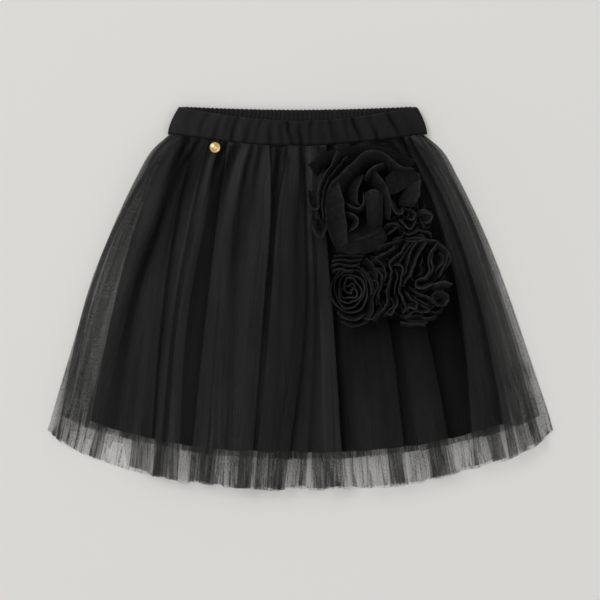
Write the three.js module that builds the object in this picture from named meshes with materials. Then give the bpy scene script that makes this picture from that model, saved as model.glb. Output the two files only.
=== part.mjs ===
// Gathered tulle skirt with an elastic waistband, a lining, four ruffled rosettes and a small
// metal charm, laid flat. Millimetres: X across the skirt, Y from the hem to the waist, Z up
// from the surface that it lies on.
import * as THREE from "three";

// Cloth and the space between its layers
const CLOTH = 1; // wall of a tulle or lining panel
const PLY = 1.4; // from one ply of a fold to the next, deep in the skirt
const TURN = 0.8; // how far a fold's edge stands out past the straight part of its plies
const LAYER_GAP = 0.5; // clear space between two layers
const SEAM_GAP = 0.3; // clear space where two pieces are sewn together
const SIDE_CLEARANCE = 1; // how far the outer front bulges over the edges beneath it

// Waist seam and waistband
const SEAM_SIDE_Y = 165;
const FRONT_SEAM_DIP = 12; // the front is pulled down at its middle
const BACK_SEAM_DIP = 3;
const BAND_TOP_Y = 192;
const BAND_FRONT_TOP_DIP = 14;
const BAND_BACK_TOP_DIP = 3.2;
const BAND_WALL = 2.6;
const BAND_SEAM_LEFT = -133.5;
const BAND_SEAM_RIGHT = 127.5;
const BAND_TOP_LEFT = -122.5;
const BAND_TOP_RIGHT = 117.5;
const BAND_BACK_HEIGHT = 6.4; // from the surface to the top of the back band's ridges
const BAND_SIDE_HEIGHT = 3; // the same at its side folds
const BAND_PUFF = 2.6; // how far the front is puffed up by its gathers
const BAND_SIDE_ROUND = 9; // how far in from the side folds the band is at full height
const BAND_PUFF_ROUND = 12; // how far in from them it is fully puffed
const BAND_TAPER = 1.6; // how late on their way up the band's sides draw in
const BAND_TOP_Z = BAND_BACK_HEIGHT + SEAM_GAP + BAND_WALL + BAND_PUFF * 0.75;

// Sides of the outer tulle from the seam (t 0) to its hem (t 1), how far in from them the other
// kinds of panel end, and how the pile of layers opens from the gathers at the seam into full
// folds. ramp is how far in from the sides the pile reaches its full height, and inner is the
// share of room kept for the lining.
const LINES = [
  { t: 0, left: -132.5, right: 124.5, under: 4.5, lining: 9.5, open: 0, ramp: 18, inner: 1 },
  { t: 0.05, left: -149, right: 142, under: 5, lining: 13, open: 0.3, ramp: 21, inner: 1 },
  { t: 0.14, left: -165, right: 158, under: 6.5, lining: 17, open: 0.85, ramp: 25, inner: 1 },
  { t: 0.38, left: -197.5, right: 191.5, under: 9, lining: 24, open: 1, ramp: 32, inner: 1 },
  { t: 0.82, left: -239.5, right: 238, under: 12, lining: 35, open: 1, ramp: 40, inner: 1 },
  { t: 0.94, left: -250, right: 250, under: 13, lining: 39, open: 1, ramp: 42, inner: 1 },
  { t: 1, left: -255.2, right: 255, under: 13.5, lining: 41, open: 1, ramp: 42, inner: 0 },
];
const BELOW_ROSETTES = 0.53; // line across the outer front at the rosettes' lower edge
const SHORT_HEM = 0.92; // line near the hems of the lining and the under tulle
const FOLDS_OPEN_FROM = 0.03; // line where the gathers start to open into folds
const FOLDS_OPEN_OVER = 0.11; // how much further down they lie fully open
const SWELL_FROM_SIDE = 14; // how far in from the sides a crest has its full height
const REST_BELOW = 0.12; // cloth lower than this lies on the surface
const RISE_FROM_SIDE = [0, 0.42, 0.72, 0.9, 1]; // share of the height over equal steps of ramp

// Curve of each kind's hem
const HEMS = {
  outer: { middle: -192, rise: 51, power: 2.5, corner: 8 },
  under: { middle: -161, rise: 44, power: 2.3, corner: 0 },
  lining: { middle: -154.5, rise: 44, power: 2.3, corner: 0 },
};

// Step between the plies of each kind's folds at the seam and further down
const PLIES = {
  outer: { seam: 0.5, full: PLY },
  under: { seam: 0.35, full: PLY },
  lining: { seam: 0.15, full: 0.2 },
};

// Layers from the surface upwards
const LAYERS = [
  { name: "outer_back", kind: "outer", side: "back" },
  { name: "under_back", kind: "under", side: "back" },
  { name: "lining_back", kind: "lining", side: "back" },
  { name: "lining_front", kind: "lining", side: "front" },
  { name: "under_front", kind: "under", side: "front" },
  { name: "outer_front", kind: "outer", side: "front" },
];

// Folds of each panel from left to right. x0 to x100 are where the fold's edge lies at the seam,
// a fifth and a half of the way down, and at the hem. lean is 1 where the edge points right, -1
// where it points left and 0 for a soft valley. tuck is how much cloth lies doubled under the
// edge at the hem, and a valley's depth is 1 where it reaches the layer below. crest is how high
// the cloth bulges before the edge.
const FOLDS = {
  outer_front: [
    { x0: -126, x20: -166, x50: -205, x100: -236.5, lean: 1, tuck: 9, crest: 0.5 },
    { x0: -114, x20: -134, x50: -166, x100: -196, lean: 0, depth: 0.9, crest: 5 },
    { x0: -106, x20: -122, x50: -137.5, x100: -151, lean: 1, tuck: 20, crest: 5 },
    { x0: -92, x20: -107, x50: -125.5, x100: -141, lean: 1, tuck: 6, crest: 2 },
    { x0: -83, x20: -93, x50: -111.5, x100: -122.5, lean: 1, tuck: 13, crest: 5 },
    { x0: -73, x20: -82, x50: -94, x100: -112, lean: -1, tuck: 16, crest: 0 },
    { x0: -54, x20: -63, x50: -68, x100: -72, lean: 0, depth: 0.35, crest: 4 },
    { x0: -31, x20: -29.5, x50: -37.5, x100: -50, lean: 1, tuck: 14, crest: 6 },
    { x0: -12, x20: -23, x50: -30.5, x100: -46.5, lean: -1, tuck: 14, crest: 0 },
    { x0: 3, x20: 4, x50: 4.5, x100: -16, lean: 1, tuck: 12, crest: 5 },
    { x0: 14, x20: 12, x50: 14, x100: 5, lean: 1, tuck: 7, crest: 1.5 },
    { x0: 26, x20: 25, x50: 32.5, x100: 43.5, lean: 1, tuck: 19, crest: 6 },
    { x0: 50, x20: 61, x50: 86, x100: 108, lean: 1, tuck: 18, crest: 5 },
    { x0: 73, x20: 92, x50: 121, x100: 155, lean: 1, tuck: 25, crest: 5 },
    { x0: 103, x20: 132, x50: 158, x100: 174, lean: -1, tuck: 8, crest: 1 },
    { x0: 110, x20: 143, x50: 176, x100: 209, lean: -1, tuck: 9, crest: 6 },
    { x0: 115.5, x20: 154, x50: 188, x100: 229, lean: 1, tuck: 9, crest: 3 },
    { x0: 121, x20: 161, x50: 196, x100: 242, lean: 1, tuck: 7, crest: 1 },
  ],
  under_front: [
    { x0: -104, x20: -126, x50: -164, x100: -201, lean: 1, tuck: 16, crest: 0 },
    { x0: -68, x20: -74, x50: -92, x100: -104, lean: -1, tuck: 16, crest: 0 },
    { x0: -28, x20: -22, x50: -22, x100: -8, lean: 1, tuck: 18, crest: 0 },
    { x0: 12, x20: 20, x50: 28, x100: 36, lean: -1, tuck: 18, crest: 0 },
    { x0: 52, x20: 72, x50: 96, x100: 118, lean: 1, tuck: 15, crest: 0 },
    { x0: 92, x20: 114, x50: 148, x100: 182, lean: -1, tuck: 16, crest: 0 },
  ],
  under_back: [
    { x0: -98, x20: -118, x50: -146, x100: -182, lean: -1, tuck: 16, crest: 0 },
    { x0: -58, x20: -66, x50: -84, x100: -104, lean: 1, tuck: 16, crest: 0 },
    { x0: -12, x20: -12, x50: -14, x100: -12, lean: -1, tuck: 18, crest: 0 },
    { x0: 38, x20: 46, x50: 60, x100: 72, lean: 1, tuck: 16, crest: 0 },
    { x0: 88, x20: 110, x50: 138, x100: 172, lean: -1, tuck: 16, crest: 0 },
  ],
  outer_back: [
    { x0: -104, x20: -134, x50: -166, x100: -202, lean: 1, tuck: 12, crest: 0 },
    { x0: -80, x20: -96, x50: -122, x100: -150, lean: -1, tuck: 14, crest: 0 },
    { x0: -50, x20: -56, x50: -70, x100: -88, lean: 1, tuck: 15, crest: 0 },
    { x0: -22, x20: -24, x50: -26, x100: -34, lean: -1, tuck: 15, crest: 0 },
    { x0: 4, x20: 8, x50: 14, x100: 26, lean: 1, tuck: 13, crest: 0 },
    { x0: 34, x20: 46, x50: 68, x100: 92, lean: -1, tuck: 14, crest: 0 },
    { x0: 64, x20: 88, x50: 118, x100: 152, lean: 1, tuck: 18, crest: 0 },
    { x0: 94, x20: 122, x50: 154, x100: 194, lean: -1, tuck: 14, crest: 0 },
  ],
  lining_front: [
    { x0: -84, x20: -96, x50: -112, x100: -140, lean: 0, depth: 1, crest: 0.4 },
    { x0: -28, x20: -32, x50: -40, x100: -52, lean: 0, depth: 1, crest: 0.4 },
    { x0: 24, x20: 28, x50: 36, x100: 44, lean: 0, depth: 1, crest: 0.4 },
    { x0: 82, x20: 98, x50: 114, x100: 136, lean: 0, depth: 1, crest: 0.4 },
  ],
  lining_back: [
    { x0: -60, x20: -68, x50: -80, x100: -98, lean: 0, depth: 1, crest: 0.4 },
    { x0: 0, x20: 0, x50: 0, x100: 0, lean: 0, depth: 1, crest: 0.4 },
    { x0: 60, x20: 68, x50: 80, x100: 98, lean: 0, depth: 1, crest: 0.4 },
  ],
};
const FOLD_STATIONS = [0, 0.2, 0.5, 1];

// Creases of the waistband front: x at the seam, how far the crease tilts towards the top edge,
// and its depth
const BAND_CREASES = [
  { x: -103, tilt: 3, depth: 1 },
  { x: -88, tilt: 3, depth: 1.4 },
  { x: -78, tilt: 3, depth: 0.9 },
  { x: -70, tilt: 2, depth: 1.6 },
  { x: -57, tilt: 5, depth: 1.1 },
  { x: -46, tilt: 3, depth: 1 },
  { x: -32, tilt: 1, depth: 1.2 },
  { x: -20, tilt: 0, depth: 0.8 },
  { x: -9, tilt: -5, depth: 1.6 },
  { x: 0, tilt: -1, depth: 1.5 },
  { x: 9, tilt: 2, depth: 1.2 },
  { x: 21, tilt: 1, depth: 0.8 },
  { x: 34, tilt: -2, depth: 1.2 },
  { x: 48, tilt: 0, depth: 0.8 },
  { x: 60, tilt: -4, depth: 1.4 },
  { x: 76, tilt: -2, depth: 1.6 },
  { x: 98, tilt: -4, depth: 1.4 },
];
const CREASE_HALF_WIDTH = 2.2;
const BACK_RIB_COUNT = 26;
const BACK_RIB_HEIGHT = 1.4;
const BAND_ROWS = [0, 0.33, 0.67, 1];

// Rosettes: centre and half sizes of the flower's outline, its ribbon's height, the number of
// turns, the ruffles in each turn and how far they swing, how far the top edge leans out, the
// angle where the winding starts, the half size of its core, and how far the ribbon's end is
// tucked in. dent takes the outline in by that share towards the angle dentAt. Angles are in
// degrees.
const RIBBON = 1.2;
const ROSETTES = [
  { name: "rosette_large", x: 64, y: 97, halfX: 62, halfY: 57, height: 24, turns: 5,
    ruffles: 6.4, swing: 2, lean: 7, start: 215, dentAt: -24, dent: 0.46, core: 6, tail: 5 },
  { name: "rosette_small", x: 111, y: 77, halfX: 23, halfY: 18.5, height: 17, turns: 3.4,
    ruffles: 5, swing: 0.9, lean: 2, start: 40, dentAt: 0, dent: 0, core: 3, tail: 2.4 },
  { name: "rosette_spiral", x: 50.5, y: 7.5, halfX: 22.5, halfY: 36, height: 18, turns: 4.2,
    ruffles: 5, swing: 0.6, lean: 2, start: 100, dentAt: 0, dent: 0, core: 2.5, tail: 1.8 },
  { name: "rosette_ruffled", x: 112, y: 14, halfX: 41.5, halfY: 43, height: 21, turns: 4.4,
    ruffles: 7.3, swing: 1.9, lean: 3, start: 285, dentAt: 0, dent: 0, core: 4, tail: 3 },
];
const ROSETTE_STEP_DEG = 13;

// Plain round charm riveted over the waist seam
const CHARM = { x: -85.5, y: 150.5, radius: 5.2, edge: 0.5, thickness: 1.4, dome: 0.7 };

const smooth = (u) => {
  const v = Math.min(1, Math.max(0, u));
  return v * v * (3 - 2 * v);
};
const lerp = (a, b, u) => a + (b - a) * u;

// Value at t on a smooth curve through the points (keys[i], values[i])
function through(keys, values, t) {
  const last = keys.length - 1;
  let i = 0;
  while (i < last - 1 && t > keys[i + 1]) i += 1;
  const slope = (k) => (values[k + 1] - values[k]) / (keys[k + 1] - keys[k]);
  const tangent = (k) => {
    if (k === 0) return slope(0);
    if (k === last) return slope(last - 1);
    return (slope(k - 1) + slope(k)) / 2;
  };
  const h = keys[i + 1] - keys[i];
  const u = Math.min(1, Math.max(0, (t - keys[i]) / h));
  const a = (1 - u) * (1 - u);
  return (
    a * (1 + 2 * u) * values[i] +
    u * a * h * tangent(i) +
    u * u * (3 - 2 * u) * values[i + 1] -
    u * u * (1 - u) * h * tangent(i + 1)
  );
}

function linear(keys, values, t) {
  const last = keys.length - 1;
  let i = 0;
  while (i < last - 1 && t > keys[i + 1]) i += 1;
  const u = (t - keys[i]) / (keys[i + 1] - keys[i]);
  return lerp(values[i], values[i + 1], Math.min(1, Math.max(0, u)));
}

const LINE_KEYS = LINES.map((line) => line.t);
const onLine = (column, t) => linear(LINE_KEYS, LINES.map((line) => line[column]), t);
const arch = (f) => Math.sin(Math.PI * Math.min(1, Math.max(0, f)));

// Y of the waist seam and of a hem at a fraction of the way across the skirt
function seamY(side, f) {
  return SEAM_SIDE_Y - (side === "front" ? FRONT_SEAM_DIP : BACK_SEAM_DIP) * arch(f);
}

function hemY(kind, f) {
  const { middle, rise, power, corner } = HEMS[kind];
  const u = Math.min(1, Math.abs(2 * f - 1));
  return middle + rise * u ** power + corner * u ** 14;
}

const across = (x, t) => (x - onLine("left", t)) / (onLine("right", t) - onLine("left", t));
const alongY = (x, t) =>
  lerp(seamY("front", across(x, t)), hemY("outer", across(x, t)), t);

// The line t of a kind's own hem where it passes x
function hemLine(kind, x) {
  if (kind === "outer") return 1;
  let low = 0.5;
  let high = 1;
  for (let k = 0; k < 30; k += 1) {
    const t = (low + high) / 2;
    if (alongY(x, t) > hemY(kind, across(x, t))) low = t;
    else high = t;
  }
  return (low + high) / 2;
}

const plyAt = (kind, t) => lerp(PLIES[kind].seam, PLIES[kind].full, onLine("open", t));

// Room that a layer takes up, with the folds of its panel
function slab(kind, t) {
  const room = CLOTH + 2 * plyAt(kind, t) + LAYER_GAP;
  return kind === "lining" ? room * onLine("inner", t) : room;
}

// Height at which a layer starts, at a distance s in from the side of the outer tulle
function baseAt(layer, t, s) {
  const rank = LAYERS.indexOf(layer);
  const full = LAYERS.slice(0, rank).reduce((sum, below) => sum + slab(below.kind, t), 0);
  const edge = ((CLOTH + SEAM_GAP) * rank) / (LAYERS.length - 1);
  const steps = RISE_FROM_SIDE.map((_, k) => k / (RISE_FROM_SIDE.length - 1));
  return lerp(edge, full, linear(steps, RISE_FROM_SIDE, s / onLine("ramp", t)));
}

// The rosettes and the charm press the cloth flat beneath them, out to PRESS_REACH times their
// half sizes, and it is free to swell again PRESS_FADE further out
const PRESS_REACH = 1.28;
const PRESS_FADE = 0.25;
const CHARM_MARGIN = 3; // cloth pressed flat round the charm
const PRESSED_BY = [
  ...ROSETTES,
  { x: CHARM.x, y: CHARM.y, halfX: CHARM.radius + CHARM_MARGIN,
    halfY: CHARM.radius + CHARM_MARGIN },
];
function pressed(x, y) {
  let least = 1;
  for (const r of PRESSED_BY) {
    const d = Math.hypot((x - r.x) / r.halfX, (y - r.y) / r.halfY);
    least = Math.min(least, smooth((d - PRESS_REACH) / PRESS_FADE));
  }
  return least;
}

// Top of the outer front at a point, over the highest ply of its folds
function surfaceZ(x, y) {
  let low = 0;
  let high = 1;
  for (let k = 0; k < 30; k += 1) {
    const t = (low + high) / 2;
    if (alongY(x, t) > y) low = t;
    else high = t;
  }
  const t = (low + high) / 2;
  const s = Math.min(x - onLine("left", t), onLine("right", t) - x);
  const layer = LAYERS[LAYERS.length - 1];
  return baseAt(layer, t, s) + CLOTH + 2 * plyAt(layer.kind, t);
}

const edgeAt = (fold, t) =>
  through(FOLD_STATIONS, [fold.x0, fold.x20, fold.x50, fold.x100], t);

// Points of one fold on a section: x, and the level in plies above the layer's base
function foldPoints(fold, t, open) {
  const edge = edgeAt(fold, t);
  if (fold.lean === 0) return [{ x: edge, level: 2 * (1 - fold.depth) }];
  const tuck = Math.max(fold.tuck * lerp(0.4, 1, t), 2.4 * TURN);
  const right = fold.lean > 0 ? edge : edge + tuck;
  const left = right - tuck;
  const folded = [right - TURN, right, right - TURN, left + TURN, left, left + TURN];
  const levels = fold.lean > 0 ? [2, 1.5, 1, 1, 0.5, 0] : [0, 0.5, 1, 1, 1.5, 2];
  const points = folded.map((x, k) => ({
    x: lerp(edge + (k - 2.5) * TURN, x, open),
    level: levels[k],
  }));
  if (fold.lean > 0) {
    points.push({ x: lerp(edge + 3.5 * TURN, right + 1.2, open), level: 0 });
  } else {
    points.unshift({ x: lerp(edge - 3.5 * TURN, left - 1.2, open), level: 0 });
  }
  return points;
}

// One section of a panel across the skirt: centre line points in X, Y and Z. The section runs on
// line t, or along the panel's own seam or hem where that is given.
function sectionOf(layer, t, edge) {
  const inset = layer.kind === "outer" ? 0 : onLine(layer.kind, t);
  const left = onLine("left", t) + inset;
  const right = onLine("right", t) - inset;
  const open = smooth((t - FOLDS_OPEN_FROM) / FOLDS_OPEN_OVER);
  const points = [{ x: left, level: 0, lift: 0 }];
  const run = (to, crest, shares) => {
    const from = points[points.length - 1];
    for (const u of shares) {
      points.push({
        x: lerp(from.x, to.x, u),
        level: lerp(from.level, to.level, smooth(u)),
        lift: crest * Math.sin(Math.PI * u),
      });
    }
  };
  const ramp = onLine("ramp", t);
  const steps = RISE_FROM_SIDE.length - 1;
  const stations = [];
  for (let k = 1; k <= steps; k += 1) {
    stations.push(Math.max((k / steps) * ramp, inset + 0.6 * k) - inset);
  }
  const free = layer.name === "outer_front";
  if (!free) points.push(...stations.map((s) => ({ x: left + s, level: 0, lift: 0 })));
  for (const fold of FOLDS[layer.name]) {
    const next = foldPoints(fold, t, open);
    run(next[0], fold.crest, free ? [0.36, 0.72] : [0.5]);
    points.push(...next.map((p) => ({ ...p, lift: 0 })));
  }
  const end = { x: right, level: 0, lift: 0 };
  if (free) {
    run(end, 0, [0.5]);
  } else {
    points.push(...stations.reverse().map((s) => ({ x: right - s, level: 0, lift: 0 })));
  }
  points.push(end);
  return points.map(({ x, level, lift }) => {
    const own = edge === "hem" ? hemLine(layer.kind, x) : t;
    const f = across(x, own);
    let y = alongY(x, own);
    if (edge === "seam") y = seamY(layer.side, f);
    if (own === 0) y -= SEAM_GAP;
    const s = Math.min(x - onLine("left", own), onLine("right", own) - x);
    const swell = lift * onLine("open", own) * pressed(x, y) * smooth(s / SWELL_FROM_SIDE);
    const clear = free ? SIDE_CLEARANCE * arch(s / onLine("ramp", own)) : 0;
    const ply = level * plyAt(layer.kind, own);
    const z = CLOTH / 2 + baseAt(layer, own, s) + ply + swell + clear;
    return new THREE.Vector3(x, y, z);
  });
}

// Moves a section's points by an amount along their normals in the X Z plane
function offset(section, amount) {
  const last = section.length - 1;
  const normal = (a, b) => {
    const length = Math.hypot(b.x - a.x, b.z - a.z) || 1;
    return { x: -(b.z - a.z) / length, z: (b.x - a.x) / length };
  };
  return section.map((p, i) => {
    const before = normal(section[Math.max(i - 1, 0)], section[Math.max(i, 1)]);
    const after = normal(section[Math.min(i, last - 1)], section[Math.min(i + 1, last)]);
    const share = Math.max(0.35, 1 + before.x * after.x + before.z * after.z);
    return new THREE.Vector3(
      p.x + ((before.x + after.x) / share) * amount,
      p.y,
      p.z + ((before.z + after.z) / share) * amount,
    );
  });
}

// A closed mesh from two stacks of sections, the upper and the lower face of a wall
function wallGeometry(upper, lower) {
  const rows = upper.length;
  const columns = upper[0].length;
  const positions = [];
  for (const face of [upper, lower]) {
    for (const row of face) {
      for (const p of row) positions.push(p.x, p.y, p.z);
    }
  }
  const at = (face, r, c) => face * rows * columns + r * columns + c;
  const indices = [];
  const quad = (a, b, c, d) => indices.push(a, b, c, a, c, d);
  for (let r = 0; r < rows - 1; r += 1) {
    for (let c = 0; c < columns - 1; c += 1) {
      quad(at(0, r, c), at(0, r + 1, c), at(0, r + 1, c + 1), at(0, r, c + 1));
      quad(at(1, r, c), at(1, r, c + 1), at(1, r + 1, c + 1), at(1, r + 1, c));
    }
    const end = columns - 1;
    quad(at(0, r, 0), at(1, r, 0), at(1, r + 1, 0), at(0, r + 1, 0));
    quad(at(0, r, end), at(0, r + 1, end), at(1, r + 1, end), at(1, r, end));
  }
  for (let c = 0; c < columns - 1; c += 1) {
    const end = rows - 1;
    quad(at(0, 0, c), at(0, 0, c + 1), at(1, 0, c + 1), at(1, 0, c));
    quad(at(0, end, c), at(1, end, c), at(1, end, c + 1), at(0, end, c + 1));
  }
  const geometry = new THREE.BufferGeometry();
  geometry.setAttribute("position", new THREE.Float32BufferAttribute(positions, 3));
  geometry.setIndex(indices);
  geometry.computeVertexNormals();
  return geometry;
}

function panel(layer) {
  const outer = layer.kind === "outer";
  const sections = layer.side === "back" ? [sectionOf(layer, 0, "seam")] : [];
  const lines = LINE_KEYS.filter((t) => t < (outer ? 1 : SHORT_HEM));
  if (layer.name === "outer_front") lines.splice(4, 0, BELOW_ROSETTES);
  sections.push(...lines.map((t) => sectionOf(layer, t)));
  sections.push(sectionOf(layer, outer ? 1 : SHORT_HEM, "hem"));
  const flatten = (row) => (layer.name === "outer_back" ? row.map(toSurface) : row);
  return wallGeometry(
    sections.map((section) => offset(section, CLOTH / 2)),
    sections.map((section) => flatten(offset(section, -CLOTH / 2))),
  );
}

// The lowest ply of the back rests flat on the surface
function toSurface(p) {
  return p.z < REST_BELOW ? new THREE.Vector3(p.x, p.y, 0) : p;
}

// Depth of the front band's creases over a point of the seam
function creaseDepth(x) {
  return BAND_CREASES.reduce((sum, crease) => {
    const away = Math.abs(x - crease.x) / CREASE_HALF_WIDTH;
    return sum + crease.depth * Math.max(0, 1 - away);
  }, 0);
}

function bandEdges(side, rise) {
  const left = lerp(BAND_SEAM_LEFT, BAND_TOP_LEFT, rise ** BAND_TAPER);
  const right = lerp(BAND_SEAM_RIGHT, BAND_TOP_RIGHT, rise ** BAND_TAPER);
  const topDip = side === "front" ? BAND_FRONT_TOP_DIP : BAND_BACK_TOP_DIP;
  const yAt = (f) => {
    const seamX = lerp(BAND_SEAM_LEFT, BAND_SEAM_RIGHT, f);
    return lerp(seamY(side, across(seamX, 0)), BAND_TOP_Y - topDip * arch(f), rise);
  };
  return { left, right, yAt };
}

// Fractions across the band where the front's sections have points
function frontStations() {
  const width = BAND_SEAM_RIGHT - BAND_SEAM_LEFT;
  const stations = [0, 0.02, 0.05, 0.95, 0.98, 1];
  BAND_CREASES.forEach(({ x }, i) => {
    for (const step of [-1, 0, 1]) {
      stations.push((x + step * CREASE_HALF_WIDTH - BAND_SEAM_LEFT) / width);
    }
    const next = BAND_CREASES[i + 1];
    if (next) stations.push(((x + next.x) / 2 - BAND_SEAM_LEFT) / width);
  });
  return stations.sort((a, b) => a - b);
}

function bandFront() {
  const stations = frontStations();
  const upper = [];
  const lower = [];
  for (const rise of BAND_ROWS) {
    const { left, right, yAt } = bandEdges("front", rise);
    const topRow = [];
    const bottomRow = [];
    for (const f of stations) {
      const seamX = lerp(BAND_SEAM_LEFT, BAND_SEAM_RIGHT, f);
      const tilt = BAND_CREASES.reduce((sum, c) => {
        const near = Math.max(0, 1 - Math.abs(seamX - c.x) / (2 * CREASE_HALF_WIDTH));
        return sum + c.tilt * rise * near;
      }, 0);
      const x = lerp(left, right, f) + tilt * 0.8;
      const y = yAt(f);
      const fromSide = Math.min(f, 1 - f) * (right - left);
      const inward = smooth(fromSide / BAND_SIDE_ROUND);
      const depth = creaseDepth(seamX) * inward;
      const bottom = lerp(BAND_SIDE_HEIGHT, BAND_BACK_HEIGHT, inward) + SEAM_GAP;
      const puff = BAND_PUFF * smooth(fromSide / BAND_PUFF_ROUND) * (0.75 + 0.25 * arch(rise));
      bottomRow.push(new THREE.Vector3(x, y, bottom + 0.4 * depth));
      topRow.push(new THREE.Vector3(x, y, bottom + BAND_WALL + puff - 1.15 * depth));
    }
    upper.unshift(topRow);
    lower.unshift(bottomRow);
  }
  return wallGeometry(upper, lower);
}

function bandBack() {
  const upper = [];
  const lower = [];
  const steps = BACK_RIB_COUNT * 2;
  for (const rise of [0, 0.5, 1]) {
    const { left, right, yAt } = bandEdges("back", rise);
    const topRow = [];
    const bottomRow = [];
    for (let k = 0; k <= steps; k += 1) {
      const f = k / steps;
      const x = lerp(left, right, f);
      const fromSide = Math.min(f, 1 - f) * (right - left);
      const top = lerp(BAND_SIDE_HEIGHT, BAND_BACK_HEIGHT, smooth(fromSide / BAND_SIDE_ROUND));
      const rib = k % 2 === 0 ? BACK_RIB_HEIGHT * smooth(fromSide / BAND_PUFF_ROUND) : 0;
      bottomRow.push(new THREE.Vector3(x, yAt(f), 0));
      topRow.push(new THREE.Vector3(x, yAt(f), top - rib));
    }
    upper.unshift(topRow);
    lower.unshift(bottomRow);
  }
  return wallGeometry(upper, lower);
}

// A ruffled ribbon standing on edge, wound outwards in a spiral
function rosette(spec) {
  const turns = spec.turns * 2 * Math.PI;
  const steps = Math.round((turns * 180) / Math.PI / ROSETTE_STEP_DEG);
  const start = (spec.start * Math.PI) / 180;
  const section = [
    { out: -RIBBON / 2, rise: 0 },
    { out: RIBBON / 2, rise: 0 },
    { out: RIBBON / 2, rise: 1 },
    { out: -RIBBON / 2, rise: 1 },
  ];
  const rings = [];
  for (let k = 0; k <= steps; k += 1) {
    const along = k / steps;
    const angle = start - along * turns;
    const toDent = Math.cos(angle - (spec.dentAt * Math.PI) / 180);
    const outline = 1 - spec.dent * Math.max(0, toDent) ** 4;
    const grow = (spec.core / spec.halfX) * (1 - along) + along;
    const wave = Math.sin(along * spec.turns * spec.ruffles * 2 * Math.PI);
    const swing = spec.swing * wave * smooth(along * 4);
    const tail = spec.tail * smooth(((along - 1) * spec.turns) / 0.16 + 1);
    rings.push(
      section.map(({ out, rise }) => {
        const leaning = spec.lean * along * rise ** 1.6;
        const ruffle = swing * (0.35 + 0.65 * rise);
        const reach = ruffle + out + leaning - spec.lean - spec.swing - tail;
        const rx = spec.halfX * grow * outline + reach + spec.lean * (1 - along);
        const ry = spec.halfY * grow * outline + reach + spec.lean * (1 - along);
        const height = spec.height * (0.72 + 0.28 * (1 - along)) * (1 + 0.06 * wave);
        const x = spec.x + rx * Math.cos(angle);
        const y = spec.y + ry * Math.sin(angle);
        return new THREE.Vector3(x, y, surfaceZ(x, y) + SEAM_GAP + rise * height);
      }),
    );
  }
  return tubeGeometry(rings);
}

// A closed mesh from a row of rings with flat ends
function tubeGeometry(rings) {
  const n = rings[0].length;
  const positions = rings.flat().flatMap((p) => [p.x, p.y, p.z]);
  const indices = [];
  for (let r = 0; r < rings.length - 1; r += 1) {
    for (let k = 0; k < n; k += 1) {
      const a = r * n + k;
      const b = r * n + ((k + 1) % n);
      indices.push(a, b, b + n, a, b + n, a + n);
    }
  }
  const last = (rings.length - 1) * n;
  for (let k = 1; k < n - 1; k += 1) {
    indices.push(0, k + 1, k);
    indices.push(last, last + k, last + k + 1);
  }
  const geometry = new THREE.BufferGeometry();
  geometry.setAttribute("position", new THREE.Float32BufferAttribute(positions, 3));
  geometry.setIndex(indices);
  geometry.computeVertexNormals();
  return geometry;
}

// A domed disc with a rounded edge, lying on the cloth
function charm() {
  const { radius, edge, thickness, dome } = CHARM;
  const profile = [new THREE.Vector2(0, 0), new THREE.Vector2(radius - edge, 0)];
  for (const degrees of [-45, 0, 45]) {
    const a = (degrees * Math.PI) / 180;
    const rise = thickness / 2 + (Math.sin(a) * thickness) / 2;
    profile.push(new THREE.Vector2(radius - edge + edge * Math.cos(a), rise));
  }
  profile.push(new THREE.Vector2(radius - edge, thickness));
  profile.push(new THREE.Vector2(radius * 0.5, thickness + dome * 0.75));
  profile.push(new THREE.Vector2(0, thickness + dome));
  return new THREE.LatheGeometry(profile, 24).rotateX(Math.PI / 2);
}

const MATERIALS = {
  tulle: new THREE.MeshStandardMaterial({ color: 0x1c1c1c, roughness: 0.85 }),
  lining: new THREE.MeshStandardMaterial({ color: 0x161616, roughness: 0.9 }),
  band: new THREE.MeshStandardMaterial({ color: 0x202020, roughness: 0.9 }),
  rosette: new THREE.MeshStandardMaterial({ color: 0x141414, roughness: 0.85 }),
  charm: new THREE.MeshStandardMaterial({ color: 0xcfa75a, roughness: 0.3, metalness: 1 }),
};

const skirt = new THREE.Group();

function addPiece(name, geometry, material) {
  const mesh = new THREE.Mesh(geometry, material);
  mesh.name = name;
  skirt.add(mesh);
  return mesh;
}

for (const layer of LAYERS) {
  const lining = layer.kind === "lining";
  const name = lining ? layer.name : `tulle_${layer.name}`;
  addPiece(name, panel(layer), lining ? MATERIALS.lining : MATERIALS.tulle);
}
addPiece("waistband_front", bandFront(), MATERIALS.band);
addPiece("waistband_back", bandBack(), MATERIALS.band);
for (const spec of ROSETTES) addPiece(spec.name, rosette(spec), MATERIALS.rosette);
addPiece("charm", charm(), MATERIALS.charm).position.set(
  CHARM.x,
  CHARM.y,
  Math.max(surfaceZ(CHARM.x, CHARM.y - CHARM.radius), BAND_TOP_Z) + 1.5 * SEAM_GAP,
);

export default skirt;
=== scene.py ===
"""A child's black tulle skirt laid flat, with a gathered waistband, a lining and ruffled rosettes."""

import math
from typing import NamedTuple

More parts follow.
